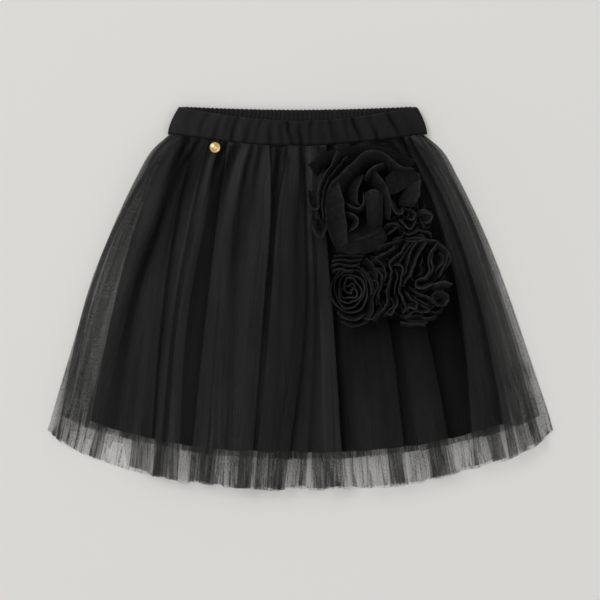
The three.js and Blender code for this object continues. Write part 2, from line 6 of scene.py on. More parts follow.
import bpy
import numpy as np
from bpy.props import FloatProperty, FloatVectorProperty, PointerProperty
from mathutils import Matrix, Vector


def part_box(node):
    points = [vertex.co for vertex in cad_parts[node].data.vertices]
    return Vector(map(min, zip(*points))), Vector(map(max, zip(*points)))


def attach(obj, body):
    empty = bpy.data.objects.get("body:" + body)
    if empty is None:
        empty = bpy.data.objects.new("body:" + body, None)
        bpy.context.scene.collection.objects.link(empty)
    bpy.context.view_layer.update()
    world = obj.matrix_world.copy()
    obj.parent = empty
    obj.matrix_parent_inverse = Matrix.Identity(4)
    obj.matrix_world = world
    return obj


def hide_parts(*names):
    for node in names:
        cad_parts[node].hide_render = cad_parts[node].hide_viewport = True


bl_info = {
    "name": "Tulle skirt with rosettes",
    "version": (1, 0, 0),
    "blender": (4, 5, 0),
    "location": "View3D > Sidebar > Skirt",
    "description": "Builds a gathered tulle skirt laid flat, with its lining, waistband and rosettes",
    "category": "Add Mesh",
}

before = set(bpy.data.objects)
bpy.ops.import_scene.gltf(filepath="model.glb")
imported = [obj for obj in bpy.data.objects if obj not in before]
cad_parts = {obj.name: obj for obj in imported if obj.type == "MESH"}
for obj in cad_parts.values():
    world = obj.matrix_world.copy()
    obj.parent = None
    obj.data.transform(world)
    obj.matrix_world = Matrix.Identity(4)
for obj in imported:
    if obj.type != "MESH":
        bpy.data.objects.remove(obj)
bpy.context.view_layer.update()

MM = 0.001
PIXEL = 0.001  # the photograph shows one millimetre of skirt for each pixel
FRAME_PIXELS = 600
VIEW_CENTRE = (-0.0005, -0.002)
LENS = 85
SENSOR = 36
PILE_MIDDLE = 0.015  # height that the view's width is measured at
WORLD_LIGHT = 0.56
FLOOR_HALF = 8
FLOOR_DROP = 0.0005


class Lamp(NamedTuple):
    """A round soft light: its place and size in metres, and its power in watts."""

    name: str
    place: tuple
    size: float
    power: float


LAMPS = [
    Lamp("key_window", (-3.2, 2.8, 4.4), 2.4, 90),
    Lamp("overhead", (0.2, 0.3, 5.2), 3.5, 32),
    Lamp("fill", (3.4, -2.2, 3.8), 3.0, 16),
]

# Cloth, layers and waistband in millimetres, as on the solids
CLOTH = 1.0
PLY = 1.4
TURN = 0.8
CUT_LENGTH = 345.0  # from the seam to the hem, along the cloth
LAYER_GAP = 0.5
SEAM_GAP = 0.3
SIDE_CLEARANCE = 1.0
SEAM_SIDE_Y = 165.0
SEAM_DIP = {"front": 12.0, "back": 3.0}
BAND_TOP_Y = 192.0
BAND_TOP_DIP = {"front": 14.0, "back": 3.2}
BAND_WALL = 2.6
BAND_SEAM = (-133.5, 127.5)
BAND_TOP = (-122.5, 117.5)
BAND_BACK_HEIGHT = 6.4
BAND_SIDE_HEIGHT = 3.0
BAND_PUFF = 2.6


class Line(NamedTuple):
    """A line across the skirt, from the seam (t 0) to the outer hem (t 1)."""

    t: float
    left: float
    right: float
    under: float  # how far in from the sides the under tulle ends
    lining: float  # how far in the lining ends
    open: float  # how far the gathers have opened into folds
    ramp: float  # how far in from the sides the pile is at its full height
    inner: float  # share of room kept for the lining


LINES = [
    Line(0, -132.5, 124.5, 4.5, 9.5, 0, 18, 1),
    Line(0.05, -149, 142, 5, 13, 0.3, 21, 1),
    Line(0.14, -165, 158, 6.5, 17, 0.85, 25, 1),
    Line(0.38, -197.5, 191.5, 9, 24, 1, 32, 1),
    Line(0.82, -239.5, 238, 12, 35, 1, 40, 1),
    Line(0.94, -250, 250, 13, 39, 1, 42, 1),
    Line(1, -255.2, 255, 13.5, 41, 1, 42, 0),
]
RISE_FROM_SIDE = (0, 0.42, 0.72, 0.9, 1)


class Hem(NamedTuple):
    """Curve of a hem: its lowest Y, how far it rises to the corners, and its roundness."""

    middle: float
    rise: float
    power: float
    corner: float


HEMS = {
    "outer": Hem(-192, 51, 2.5, 8),
    "under": Hem(-161, 44, 2.3, 0),
    "lining": Hem(-154.5, 44, 2.3, 0),
}
SEAM_PLY = {"outer": 0.5, "under": 0.35, "lining": 0.15}
FULL_PLY = {"outer": PLY, "under": PLY, "lining": 0.2}


class Layer(NamedTuple):
    """A panel of cloth, in the order that they lie from the surface upwards."""

    name: str
    kind: str
    side: str


LAYERS = [
    Layer("outer_back", "outer", "back"),
    Layer("under_back", "under", "back"),
    Layer("lining_back", "lining", "back"),
    Layer("lining_front", "lining", "front"),
    Layer("under_front", "under", "front"),
    Layer("outer_front", "outer", "front"),
]


class Fold(NamedTuple):
    """A fold's edge on its way down, how it lies, and the painted light and shade of the cloth beside it.
    """

    seam: float
    fifth: float
    half: float
    hem: float
    lean: int  # 1 where the edge points right, -1 where it points left, 0 for a valley
    tuck: float  # cloth doubled under the edge at the hem, or a valley's depth
    crest: float  # how high the cloth bulges before the edge
    shade: float = 0.45  # how dark the painted shade beside the edge is
    reach: float = 7  # how far that shade reaches
    tone: float = 1  # painted light of the cloth before the edge
    gain: float = 0  # how much more painted light it gets at the hem
    slope: float = 0  # how much darker it is painted at the edge than at its start
    soft: float = 1.2  # over what width its light passes into the next run's
    fade: float = 0  # share of the shade that is lost on the way down


FOLDS = {
    "outer_front": [
        Fold(-126, -166, -205, -236.5, 1, 9, 0.5, 0.3, 5, 1.1),
        Fold(-114, -134, -166, -196, 0, 0.9, 5, 0.72, 7, 1.1, soft=9, fade=0.7),
        Fold(-106, -122, -137.5, -151, 1, 20, 5, 0.7, 4, 1.0),
        Fold(-92, -107, -125.5, -141, 1, 6, 2, 0.6, 3.5, 1.1),
        Fold(-83, -93, -111.5, -122.5, 1, 13, 5, 0.3, 8, 1.3, slope=0.35, soft=9),
        Fold(-73, -82, -94, -112, -1, 16, 0, 0.5, 5, 0.8, gain=0.1),
        Fold(-54, -63, -68, -72, 0, 0.35, 4, 0.25, 5, 1.12, soft=9, fade=0.5),
        Fold(-31, -29.5, -37.5, -50, 1, 14, 6, 0.85, 2.6, 1.1),
        Fold(-12, -23, -30.5, -46.5, -1, 14, 0, 0.2, 4, 0.6, gain=0.5),
        Fold(3, 4, 4.5, -16, 1, 12, 5, 0.6, 5, 0.8, slope=0.4),
        Fold(14, 12, 14, 5, 1, 7, 1.5, 0.2, 4, 0.85),
        Fold(26, 25, 32.5, 43.5, 1, 19, 6, 0.96, 13, 1.1),
        Fold(50, 61, 86, 108, 1, 18, 5, 0.75, 7, 0.75, gain=0.25, slope=0.2),
        Fold(73, 92, 121, 155, 1, 25, 5, 0.5, 8, 0.6, gain=0.3, slope=0.1),
        Fold(103, 132, 158, 174, -1, 8, 1, 0.45, 9, 0.4, gain=0.1),
        Fold(110, 143, 176, 209, -1, 9, 6, 0.5, 6, 0.85),
        Fold(115.5, 154, 188, 229, 1, 9, 3, 0.25, 5, 1.0),
        Fold(121, 161, 196, 242, 1, 7, 1, 0.25, 5, 1.05),
    ],
    "under_front": [
        Fold(-104, -126, -164, -201, 1, 16, 0),
        Fold(-68, -74, -92, -104, -1, 16, 0),
        Fold(-28, -22, -22, -8, 1, 18, 0),
        Fold(12, 20, 28, 36, -1, 18, 0),
        Fold(52, 72, 96, 118, 1, 15, 0),
        Fold(92, 114, 148, 182, -1, 16, 0),
    ],
    "under_back": [
        Fold(-98, -118, -146, -182, -1, 16, 0),
        Fold(-58, -66, -84, -104, 1, 16, 0),
        Fold(-12, -12, -14, -12, -1, 18, 0),
        Fold(38, 46, 60, 72, 1, 16, 0),
        Fold(88, 110, 138, 172, -1, 16, 0),
    ],
    "outer_back": [
        Fold(-104, -134, -166, -202, 1, 12, 0),
        Fold(-80, -96, -122, -150, -1, 14, 0),
        Fold(-50, -56, -70, -88, 1, 15, 0),
        Fold(-22, -24, -26, -34, -1, 15, 0),
        Fold(4, 8, 14, 26, 1, 13, 0),
        Fold(34, 46, 68, 92, -1, 14, 0),
        Fold(64, 88, 118, 152, 1, 18, 0),
        Fold(94, 122, 154, 194, -1, 14, 0),
    ],
    "lining_front": [
        Fold(-84, -96, -112, -140, 0, 1, 0.4),
        Fold(-28, -32, -40, -52, 0, 1, 0.4),
        Fold(24, 28, 36, 44, 0, 1, 0.4),
        Fold(82, 98, 114, 136, 0, 1, 0.4),
    ],
    "lining_back": [
        Fold(-60, -68, -80, -98, 0, 1, 0.4),
        Fold(0, 0, 0, 0, 0, 1, 0.4),
        Fold(60, 68, 80, 98, 0, 1, 0.4),
    ],
}
FOLD_STATIONS = (0, 0.2, 0.5, 1)
FINER_FRONT = {"outer": 1, "under": 3, "lining": 6}


class Tab(NamedTuple):
    """A stretch of the outer front's hem between two folds, and how much shorter it hangs."""

    left: float
    right: float
    by: float
    close: float = 1  # how much denser its cloth lies there


HEM_TABS = [
    Tab(-238, -191, 19, 0.7),
    Tab(-190, -174, 25, 0.7),
    Tab(-172, -150, 5, 1.2),
    Tab(-148, -122, 2, 1.3),
    Tab(-112, -78, 3.5, 1.7),
    Tab(-72, -50, 0.5, 2.6),
    Tab(-46, -16, 0, 1.5),
    Tab(-14, 6, 4, 1.4),
    Tab(24, 43, 3, 1.3),
    Tab(48, 88, 0, 0.7),
    Tab(88, 108, 0, 0.6),
    Tab(125, 155, 3, 0.7),
    Tab(156, 172, 6),
    Tab(173, 200, 5),
]


class Crease(NamedTuple):
    """A crease of the waistband's front: X at the seam, tilt towards the top, depth and width."""

    x: float
    tilt: float
    depth: float
    width: float = 2.4


BAND_CREASES = [
    Crease(-118, 2, 0.5, 4),
    Crease(-103, 3, 1.0),
    Crease(-88, 3, 1.4),
    Crease(-78, 3, 0.9),
    Crease(-70, 2, 1.6),
    Crease(-57, 5, 1.1, 3),
    Crease(-46, 3, 1.0),
    Crease(-32, 1, 1.2, 3),
    Crease(-20, 0, 0.8),
    Crease(-9, -5, 1.6),
    Crease(0, -1, 1.5),
    Crease(9, 2, 1.2),
    Crease(21, 1, 0.8),
    Crease(34, -2, 1.2, 3),
    Crease(48, 0, 0.8),
    Crease(60, -4, 1.4),
    Crease(76, -2, 1.6),
    Crease(98, -4, 1.4),
    Crease(113, -3, 0.5, 4),
]


class Bed(NamedTuple):
    """Footprint of a rosette on the cloth, and how high its gathered roots are piled."""

    x: float
    y: float
    half_x: float
    half_y: float
    height: float


BEDS = {
    "rosette_large": Bed(64, 97, 50, 50, 9),
    "rosette_small": Bed(111, 77, 22, 18.5, 8),
    "rosette_spiral": Bed(50.5, 7.5, 21.5, 34, 8),
    "rosette_ruffled": Bed(110.5, 14, 40.5, 43, 9),
}
PRESS_HALF = {
    "rosette_large": (62, 57),
    "rosette_small": (23, 18.5),
    "rosette_spiral": (22.5, 36),
    "rosette_ruffled": (41.5, 43),
}


class Petal(NamedTuple):
    """A petal: its folded rim and its sewn root, their heights above the cloth, its form and its painted
    light.
    """

    rim: tuple
    root: tuple
    low: float
    high: float
    crown: float = 0  # how far the middle of the petal bulges up
    light: float = 1


LARGE_PETALS = [
    Petal(
        ((8, 133), (21, 144), (39, 149.5), (62, 152), (84, 150), (98, 144), (115, 137)),
        ((16, 122), (28, 134), (45, 138), (66, 141), (84, 138), (96, 132), (108, 126)), 0, 3, 1, 0.6,
    ),
    Petal(
        ((16.5, 88), (17.1, 105.3), (21.7, 119.6), (31, 133), (36.1, 147)),
        ((23, 88), (24, 104), (28, 117), (36, 130), (42, 143)), 0, 15, 0, 1.3,
    ),
    Petal(
        ((22, 74), (21.2, 92), (22.8, 106), (27.5, 118), (37, 130), (46, 141)),
        ((28, 74), (27, 91), (28.5, 104), (33, 115), (42, 126), (51, 137)), 0, 15, 0, 0.9,
    ),
    Petal(
        ((7.3, 106), (7.6, 97), (9.6, 90.4), (13, 87), (17, 88), (19.1, 94.8), (18.6, 103)),
        ((10, 107), (10.4, 98), (12, 93), (14, 91), (15.8, 91.5), (16.6, 96), (16, 103)), 0, 12, 0, 1.3,
    ),
    Petal(
        ((11.3, 76), (11.6, 68), (14.2, 62.6), (20.4, 59.5), (25, 66), (27, 77)),
        ((18, 79), (18, 73), (19, 69), (21.5, 68), (23, 72), (24, 79)), 0, 13, 1, 1.1,
    ),
    Petal(
        ((36.5, 116), (40.5, 104), (43, 90), (44.8, 76), (45.6, 62), (45.6, 49)),
        ((27, 108), (25.3, 98), (25, 86), (27, 73), (31, 58), (37.4, 45)), 14, 25, 2, 1.05,
    ),
    Petal(
        ((36.5, 44.5), (29.4, 61), (25.2, 78), (25, 94), (28, 109)),
        ((41, 50), (35, 64), (31, 79), (31, 94), (33, 106)), 0, 15, 0, 0.8,
    ),
    Petal(
        (
            (26.3, 101), (29.6, 111.8), (40, 122.2), (51.8, 134), (65.5, 144.5), (80.5, 143.2),
            (91, 135.3), (102.8, 128), (112.5, 127.5),
        ),
        (
            (41, 96), (45, 105), (52, 113), (60, 121), (69, 129), (79, 128.5), (88, 122),
            (97, 116), (104, 113),
        ), 6, 25, -2, 1.05,
    ),
    Petal(
        ((87, 101), (94.5, 102.6), (101.5, 106.6), (109, 111), (116, 116)),
        ((83, 117), (89, 123), (97, 126), (106, 126), (114, 123)), 21, 18, 4, 0.95,
    ),
    Petal(
        ((117, 124), (118, 113), (117, 101), (112.5, 90)),
        ((102, 108), (100, 103), (98, 98), (97, 91)), 10, 19, 2, 1.15,
    ),
    Petal(
        ((63, 122), (58.5, 112), (55.8, 101), (57, 93), (62, 89)),
        ((50, 117), (46, 108), (44, 99), (46, 92), (51, 87)), 6, 24, -2, 0.9,
    ),
    Petal(
        ((71, 126), (77.5, 119.5), (83, 111.8), (87, 101), (89, 91), (87.5, 77)),
        ((66, 119), (70, 112), (73, 105), (75, 98), (77, 90), (78, 80)), 8, 25, -2, 1.05,
    ),
    Petal(
        ((63.5, 104), (68, 106.2), (74, 106), (80.5, 102)),
        ((66, 69), (70, 66.5), (75, 66.5), (80, 69)), 13, 24, 4, 1.15,
    ),
    Petal(
        ((62, 117), (66.5, 124.5), (73, 130), (84, 134)),
        ((68, 114), (72, 119.5), (78, 124), (87, 128)), 6, 23, 0, 1.3,
    ),
    Petal(
        ((43.9, 95), (50.5, 90), (57, 88), (61, 93.5), (62.2, 104)),
        ((44, 90), (50, 85.5), (58, 84), (65, 92), (66, 103)), 8, 23, 0, 1.35,
    ),
    Petal(
        ((44.5, 85.5), (51.8, 82.4), (57, 78), (55, 70), (45.8, 64.2)),
        ((44, 81), (49, 78.5), (52, 76), (50, 72), (45, 69.5)), 8, 22, 0, 1.4,
    ),
    Petal(
        ((38.5, 46.5), (45.3, 44), (53, 43.2), (60.4, 44.4)),
        ((41, 63), (46, 65.5), (53, 66), (60.5, 65)), 14, 12, 5, 1.05,
    ),
    Petal(
        ((60, 43), (69, 45.5), (77.9, 50), (85.5, 58.6)),
        ((59, 65), (66, 67), (73, 68.5), (79, 72)), 15, 12, 5, 0.9,
    ),
    Petal(
        ((47, 55), (58, 57), (70, 61), (80, 68)),
        ((50, 70), (58, 73), (66, 75), (74, 77)), 6, 19, 0, 0.75,
    ),
]

# Loose curls and leaves of the other rosettes
SMALL_PETALS = [
    Petal(((90, 97), (90.5, 89), (94, 82.5), (100, 83), (101.5, 90)),
          ((94, 96), (95, 91), (96.5, 88), (98, 88), (99, 91)), 3, 17, 1, 1.3),
    Petal(((115, 84), (120, 87.5), (126, 86), (131, 81), (129, 74)),
          ((114, 77), (117, 79), (120, 79), (122, 77), (122, 74)), 2, 13, 2, 1.25),
    Petal(
        ((82, 70), (88, 74), (96, 73), (101, 68)),
        ((84, 64), (89, 68), (95, 68), (99, 63)), 2, 14, 1, 1.1,
    ),
]
SPIRAL_PETALS = [
    Petal(
        ((31, 27), (38, 29.5), (47, 27), (56, 29)),
        ((32, 23), (39, 25), (47, 23), (55, 25)), 2, 15, 0, 1,
    ),
    Petal(
        ((30, 32), (38, 34), (48, 32), (59, 34)),
        ((31, 28), (39, 30), (48, 28), (58, 30)), 2, 13, 0, 1.1,
    ),
    Petal(
        ((31, 37.5), (40, 38.5), (50, 37), (61, 39)),
        ((32, 33), (40, 34), (50, 33), (60, 35)), 2, 11, 0, 1,
    ),
    Petal(((33, 42), (42, 43), (53, 42), (64, 43)), ((34, 38), (42, 39), (53, 38), (63, 39)), 1, 9, 0, 0.9),
    Petal(
        ((36, -15), (44, -21), (55, -22), (66, -16)),
        ((38, -10), (45, -16), (55, -17), (63, -12)), 1, 11, 0, 1,
    ),
    Petal(
        ((40, -24), (50, -28), (60, -27.5), (70, -21)),
        ((42, -19), (51, -23), (60, -23), (67, -17)), 0, 8, 0, 0.8,
    ),
    Petal(((62, 30), (68, 22), (72, 10), (71, -2)), ((57, 28), (62, 20), (65, 10), (65, 0)), 1, 11, 0, 0.9),
    Petal(
        ((66, 40), (72, 32), (76, 22), (74, 12)),
        ((61, 38), (67, 30), (70, 21), (69, 12)), 1, 12, 1, 0.8,
    ),
    Petal(
        ((70, 2), (72, -8), (70, -18), (66, -24)),
        ((65, 2), (66, -7), (64, -16), (60, -20)), 1, 11, 1, 0.9,
    ),
]
RUFFLED_PETALS = [
    Petal(((128, 12), (138, 16.5), (151, 14.5)), ((128, 6), (137, 9), (146, 9.5)), 2, 14, 1, 1.3),
    Petal(
        ((126, -2), (134, 6), (145, 4), (148, -4)),
        ((124, -8), (131, -2), (139, -3), (141, -9)), 2, 13, 1, 0.9,
    ),
    Petal(
        ((134, 56), (143, 50), (148, 38), (143, 28)),
        ((129, 50), (136, 45), (140, 37), (137, 29)), 2, 15, 1, 1.1,
    ),
    Petal(((104, -22), (114, -26), (126, -25)), ((105, -16), (114, -20), (124, -19)), 2, 9, 1, 0.9),
    Petal(
        ((72, 46), (80, 52), (92, 56), (104, 59)),
        ((75, 40), (82, 45), (93, 49), (104, 52)), 1, 13, 1, 0.9,
    ),
    Petal(
        ((70, 36), (78, 43), (88, 47), (97, 53)),
        ((73, 30), (80, 37), (90, 41), (98, 46)), 1, 15, 1, 1.1,
    ),
    Petal(
        ((104, 60), (116, 60), (128, 57), (137, 55)),
        ((105, 53), (116, 53), (127, 51), (134, 48)), 1, 13, 1, 1.1,
    ),
]


class Ribbon(NamedTuple):
    """A gathered strip on edge: the line of its rim, and how far aside it is sewn down."""

    rim: tuple
    side: float  # to the right of the way it runs, or to the left where it is less than 0
    high: float
    light: float = 1


RUFFLED_RIBBONS = [
    Ribbon(((108, 57), (103, 52), (97, 44), (91, 38.5), (87, 33.5), (89, 25.5), (87, 16.5), (84.5, 7),
            (85, -2), (83, -8.5), (78, -15)), -4, 19, 1.2),
    Ribbon(((113, 57), (107, 50), (102, 43), (97, 36.5), (92.5, 34)), -3, 17, 0.9),
    Ribbon(((91, 31.5), (97, 32), (100, 29.5), (99.5, 23), (97.5, 15), (97, 7), (99.5, -0.5), (103, -8.5),
            (107, -14)), -3.5, 20, 1.3),
    Ribbon(((93.5, 29), (95, 23), (94, 15), (92, 8), (93, 0)), -2, 18, 1.0),
    Ribbon(((117, 57), (111, 49), (107, 42), (105, 33), (104, 26), (100.5, 20)), 3, 18, 1.0),
    Ribbon(
        ((125, 55.5), (120, 48), (114.5, 40), (112, 32), (109.5, 24), (104, 16.5), (101.5, 11)),
        4, 20, 1.2,
    ),
    Ribbon(((135.5, 54.5), (130, 49), (126.5, 42.5), (125, 34.5), (126.5, 27), (121, 20.5), (114.5, 17.5),
            (112, 14), (114.5, 10), (121, 9), (131.5, 13.5)), -4, 20, 1.35),
    Ribbon(((129.5, 48), (128.5, 37.5), (129.5, 28), (125, 22), (117, 17)), -3, 18, 1.1),
    Ribbon(((121, 42), (119, 33), (119.5, 26), (114, 20)), 3, 16, 0.8),
    Ribbon(
        ((135.5, 54.5), (142, 49), (145.5, 42.5), (143.5, 36), (140.5, 29.5), (138, 23), (133, 18)),
        5, 16, 1.0,
    ),
    Ribbon(((137, 45), (141, 40), (139, 33), (135, 29), (134, 22)), 3, 15, 1.15),
    Ribbon(((147, 2), (146, -3), (141, -8), (134, -7), (130, -2), (131, 5), (138, 8)), 4, 13, 1.0),
    Ribbon(((72.5, 40.5), (80.5, 42.5), (88.5, 47.5), (95, 53)), 3, 15, 1.1),
    Ribbon(((70, 38.5), (78, 36), (83, 30.5), (84.5, 23), (82, 15)), 3, 15, 1.0),
    Ribbon(((71, 32), (76, 27), (81, 22), (80, 12), (77, 4), (80, -4)), 3, 14, 0.9),
    Ribbon(((68, 15), (73, 18), (77, 13), (74, 6), (72, -2)), 3, 13, 1.1),
    Ribbon(((83, -14), (88.5, -16.5), (93.5, -11), (96, -4.5), (95, 3)), -3, 16, 1.1),
    Ribbon(((86, 2), (90, -3), (91, -9), (87, -12), (82, -18)), -2.5, 15, 0.9),
    Ribbon(((103, 8), (109.5, -0.5), (114.5, -6), (113, -11), (107, -10), (101, -15)), 3, 17, 1.15),
    Ribbon(((107, 12), (113, 7), (119, 3), (127, 1), (132, -5)), 3, 15, 1.0),
    Ribbon(((110, 3), (117, -2), (122, -5), (129, -9)), 3, 14, 0.85),
    Ribbon(((116, -6), (123.5, -8.5), (127, -13.5), (120, -15), (112, -13.5), (105, -18)), 4, 14, 1.15),
    Ribbon(((101, -19), (112, -17.5), (121, -19), (127, -22.5)), 3, 11, 0.9),
    Ribbon(((99, -24), (111, -25.5), (124, -25)), 3, 9, 1.1),
    Ribbon(((62, -20), (70, -21.5), (78, -15), (83, -8.5)), -3, 12, 1.0),
    Ribbon(((104, 57), (113, 56), (122.5, 58), (130, 57), (137, 55.5)), 4, 13, 1.1),
    Ribbon(((127, -12), (134, -14), (141, -10)), 3, 11, 0.9),
    Ribbon(((117, -18), (127, -19), (135, -16)), 3, 10, 0.8),
    Ribbon(((76, -3), (80, -9), (77, -17), (71, -22)), -3, 12, 0.8),
]
SMALL_RIBBONS = [
    Ribbon(((101.5, 89.5), (108, 87), (113, 83), (110.5, 76.5), (104, 78)), 3, 18, 1.1),
    Ribbon(((83, 72.5), (89.5, 74), (96, 72), (93.5, 67.5), (87, 63.5), (83, 59.5)), 3, 16, 1.1),
    Ribbon(((97, 78), (102, 72), (107, 67.5), (112, 71.5), (115, 79)), -3, 18, 1.2),
    Ribbon(((101, 66), (106, 62), (112, 64), (118, 71)), -3, 16, 0.9),
    Ribbon(((117, 84.5), (125, 84.5), (130, 81), (126.5, 75), (120, 74)), 4, 14, 1.1),
    Ribbon(((108, 63.5), (114.5, 67.5), (121, 66), (127.5, 64.5), (130, 59.5)), 3, 14, 1.1),
    Ribbon(((112, 61), (120, 62), (126, 58)), 3, 12, 1.0),
    Ribbon(((103, 66), (99, 61), (91, 57)), -3, 13, 0.9),
    Ribbon(((118, 79), (122, 71), (129, 70)), 3, 15, 0.9),
]


class Ruffle(NamedTuple):
    """A ribbon that runs in and out round a focus, between two shares of the rosette's radius."""

    node: str
    focus_x: float
    focus_y: float
    inner: float
    outer: float
    waves: float
    height: float
    start: float
    lean: float
    swirl: float  # how far its flutes curl round on their way out
    seed: int


RUFFLES = [
    Ruffle("rosette_ruffled", 94, 4, 0.62, 0.98, 15, 10, 10, 4.5, 1.4, 21),
    Ruffle("rosette_ruffled", 94, 4, 0.30, 0.70, 9, 12, 130, 3.5, 1.2, 23),
    Ruffle("rosette_small", 104, 74, 0.52, 1.0, 13, 10, 0, 3, 0.8, 31),
    Ruffle("rosette_small", 104, 75, 0.20, 0.60, 7, 12, 45, 2, 0.7, 32),
]


class Winding(NamedTuple):
    """The tight spiral of the lower left rosette."""

    x: float
    y: float
    half_x: float
    half_y: float
    height: float
    turns: float
    start: float


SPIRAL = Winding(49, 8, 21.5, 25, 17, 5.2, 60)
RIM_PLY = 1.5

CHARM_PLACE = (-85.5, 150.5)
CHARM_RADIUS = 5.2


class SkirtSizes(bpy.types.PropertyGroup):
    tulle_opacity: FloatProperty(
        name="Tulle opacity",
        description="Share of light that one flat layer of tulle stops",
        default=0.12, min=0.01, max=0.9, subtype="FACTOR",
    )
    gather_height: FloatProperty(
        name="Gather height",
        description="Height of the fine gathers below the waist seam",
        default=0.0013, min=0, max=0.004, unit="LENGTH",
    )
    gather_pitch: FloatProperty(
        name="Gather pitch",
        description="Cloth taken up by each fine gather",
        default=0.0085, min=0.003, max=0.03, unit="LENGTH",
    )
    rib_pitch: FloatProperty(
        name="Rib pitch",
        description="Distance between the ribs inside the back of the waistband",
        default=0.0046, min=0.002, max=0.01, unit="LENGTH",
    )
    stitch_pitch: FloatProperty(
        name="Stitch pitch",
        description="Distance from one stitch of the waist seam to the next",
        default=0.0028, min=0.0015, max=0.006, unit="LENGTH",
    )
    net_cell: FloatProperty(
        name="Net cell",
        description="Width of one cell of the tulle's net",
        default=0.0012, min=0.0005, max=0.003, unit="LENGTH",
    )


class SkirtColours(bpy.types.PropertyGroup):
    tulle: FloatVectorProperty(
        name="Tulle", description="Colour of the tulle",
        default=(0.0290, 0.0287, 0.0283), min=0, max=1, subtype="COLOR",
    )
    lining: FloatVectorProperty(
        name="Lining", description="Colour of the lining",
        default=(0.0200, 0.0200, 0.0201), min=0, max=1, subtype="COLOR",
    )
    band: FloatVectorProperty(
        name="Waistband", description="Colour of the waistband's knit",
        default=(0.0135, 0.0135, 0.0136), min=0, max=1, subtype="COLOR",
    )
    rosette: FloatVectorProperty(
        name="Rosettes", description="Colour of the rosettes' tulle",
        default=(0.0112, 0.0112, 0.0113), min=0, max=1, subtype="COLOR",
    )
    thread: FloatVectorProperty(
        name="Thread", description="Colour of the sewing thread",
        default=(0.012, 0.012, 0.0122), min=0, max=1, subtype="COLOR",
    )
    charm: FloatVectorProperty(
        name="Charm", description="Colour of the charm's metal",
        default=(0.72, 0.50, 0.22), min=0, max=1, subtype="COLOR",
    )
    floor: FloatVectorProperty(
        name="Floor", description="Colour of the floor",
        default=(0.80, 0.79, 0.765), min=0, max=1, subtype="COLOR",
    )


def smooth(u):
    """Ease from 0 to 1."""
    v = np.clip(u, 0, 1)
    return v * v * (3 - 2 * v)


def arch(f):
    return np.sin(np.pi * np.clip(f, 0, 1))


def mix(a, b, u):
    return a + (b - a) * u


def through(keys, values, t):
    """Value at t on a smooth curve through points with these keys and values."""
    keys = np.asarray(keys, float)
    values = np.asarray(values, float)
    t = np.asarray(t, float)
    slopes = np.diff(values) / np.diff(keys)
    tangents = np.concatenate(([slopes[0]], (slopes[:-1] + slopes[1:]) / 2, [slopes[-1]]))
    i = np.clip(np.searchsorted(keys, t, side="right") - 1, 0, len(keys) - 2)
    step = keys[i + 1] - keys[i]
    u = np.clip((t - keys[i]) / step, 0, 1)
    a = (1 - u) ** 2
    start = a * (1 + 2 * u) * values[i] + u * a * step * tangents[i]
    return start + u * u * (3 - 2 * u) * values[i + 1] - u * u * (1 - u) * step * tangents[i + 1]


LINE_KEYS = [line.t for line in LINES]


def on_line(column, t):
    return np.interp(t, LINE_KEYS, [getattr(line, column) for line in LINES])


def side_x(column, t):
    """X of the outer tulle's side, on a smooth curve."""
    return through(LINE_KEYS, [getattr(line, column) for line in LINES], t)


def ripple(x, wavelength, seed):
    """Smooth uneven waves between -1 and 1."""
    table = np.random.RandomState(seed).uniform(-1, 1, 1024)
    place = np.asarray(x, float) / wavelength + 300.37
    i = np.floor(place).astype(int)
    return mix(table[i % 1024], table[(i + 1) % 1024], smooth(place - i))


def crumple(x, y, size_x, size_y, seed):
    """Smooth uneven hills between -1 and 1."""
    table = np.random.RandomState(seed).uniform(-1, 1, (256, 256))
    px = np.asarray(x, float) / size_x + 70.3
    py = np.asarray(y, float) / size_y + 50.7
    i = np.floor(px).astype(int)
    j = np.floor(py).astype(int)
    u = smooth(px - i)
    v = smooth(py - j)
    near = mix(table[i % 256, j % 256], table[(i + 1) % 256, j % 256], u)
    far = mix(table[i % 256, (j + 1) % 256], table[(i + 1) % 256, (j + 1) % 256], u)
    return mix(near, far, v)


def seam_y(side, f):
    return SEAM_SIDE_Y - SEAM_DIP[side] * arch(f)


def hem_y(kind, f):
    hem = HEMS[kind]
    u = np.clip(np.abs(2 * f - 1), 0, 1)
    return hem.middle + hem.rise * u**hem.power + hem.corner * u**14


def across(x, t):
    left = side_x("left", t)
    return (x - left) / (side_x("right", t) - left)


def along_y(x, t):
    f = across(x, t)
    return mix(seam_y("front", f), hem_y("outer", f), t)


def hem_line(kind, f):
    """The line t on which a kind's own hem lies, at a fraction of the way across."""
    top = seam_y("front", f)
    return np.clip((top - hem_y(kind, f)) / (top - hem_y("outer", f)), 0, 1)


def ply_at(kind, t):
    return mix(SEAM_PLY[kind], FULL_PLY[kind], on_line("open", t))


def slab(kind, t):
    """Room that a layer takes up, with the folds of its panel."""
    room = CLOTH + 2 * ply_at(kind, t) + LAYER_GAP
    return room * on_line("inner", t) if kind == "lining" else room


def base_at(layer, t, s):
    """Height at which a layer starts, at a distance s in from the side of the outer tulle."""
    rank = LAYERS.index(layer)
    full = sum((slab(below.kind, t) for below in LAYERS[:rank]), np.zeros_like(s))
    edge = (CLOTH + SEAM_GAP) * rank / (len(LAYERS) - 1)
    steps = np.linspace(0, 1, len(RISE_FROM_SIDE))
    share = np.interp(s / on_line("ramp", t), steps, RISE_FROM_SIDE)
    return mix(edge, full, share)


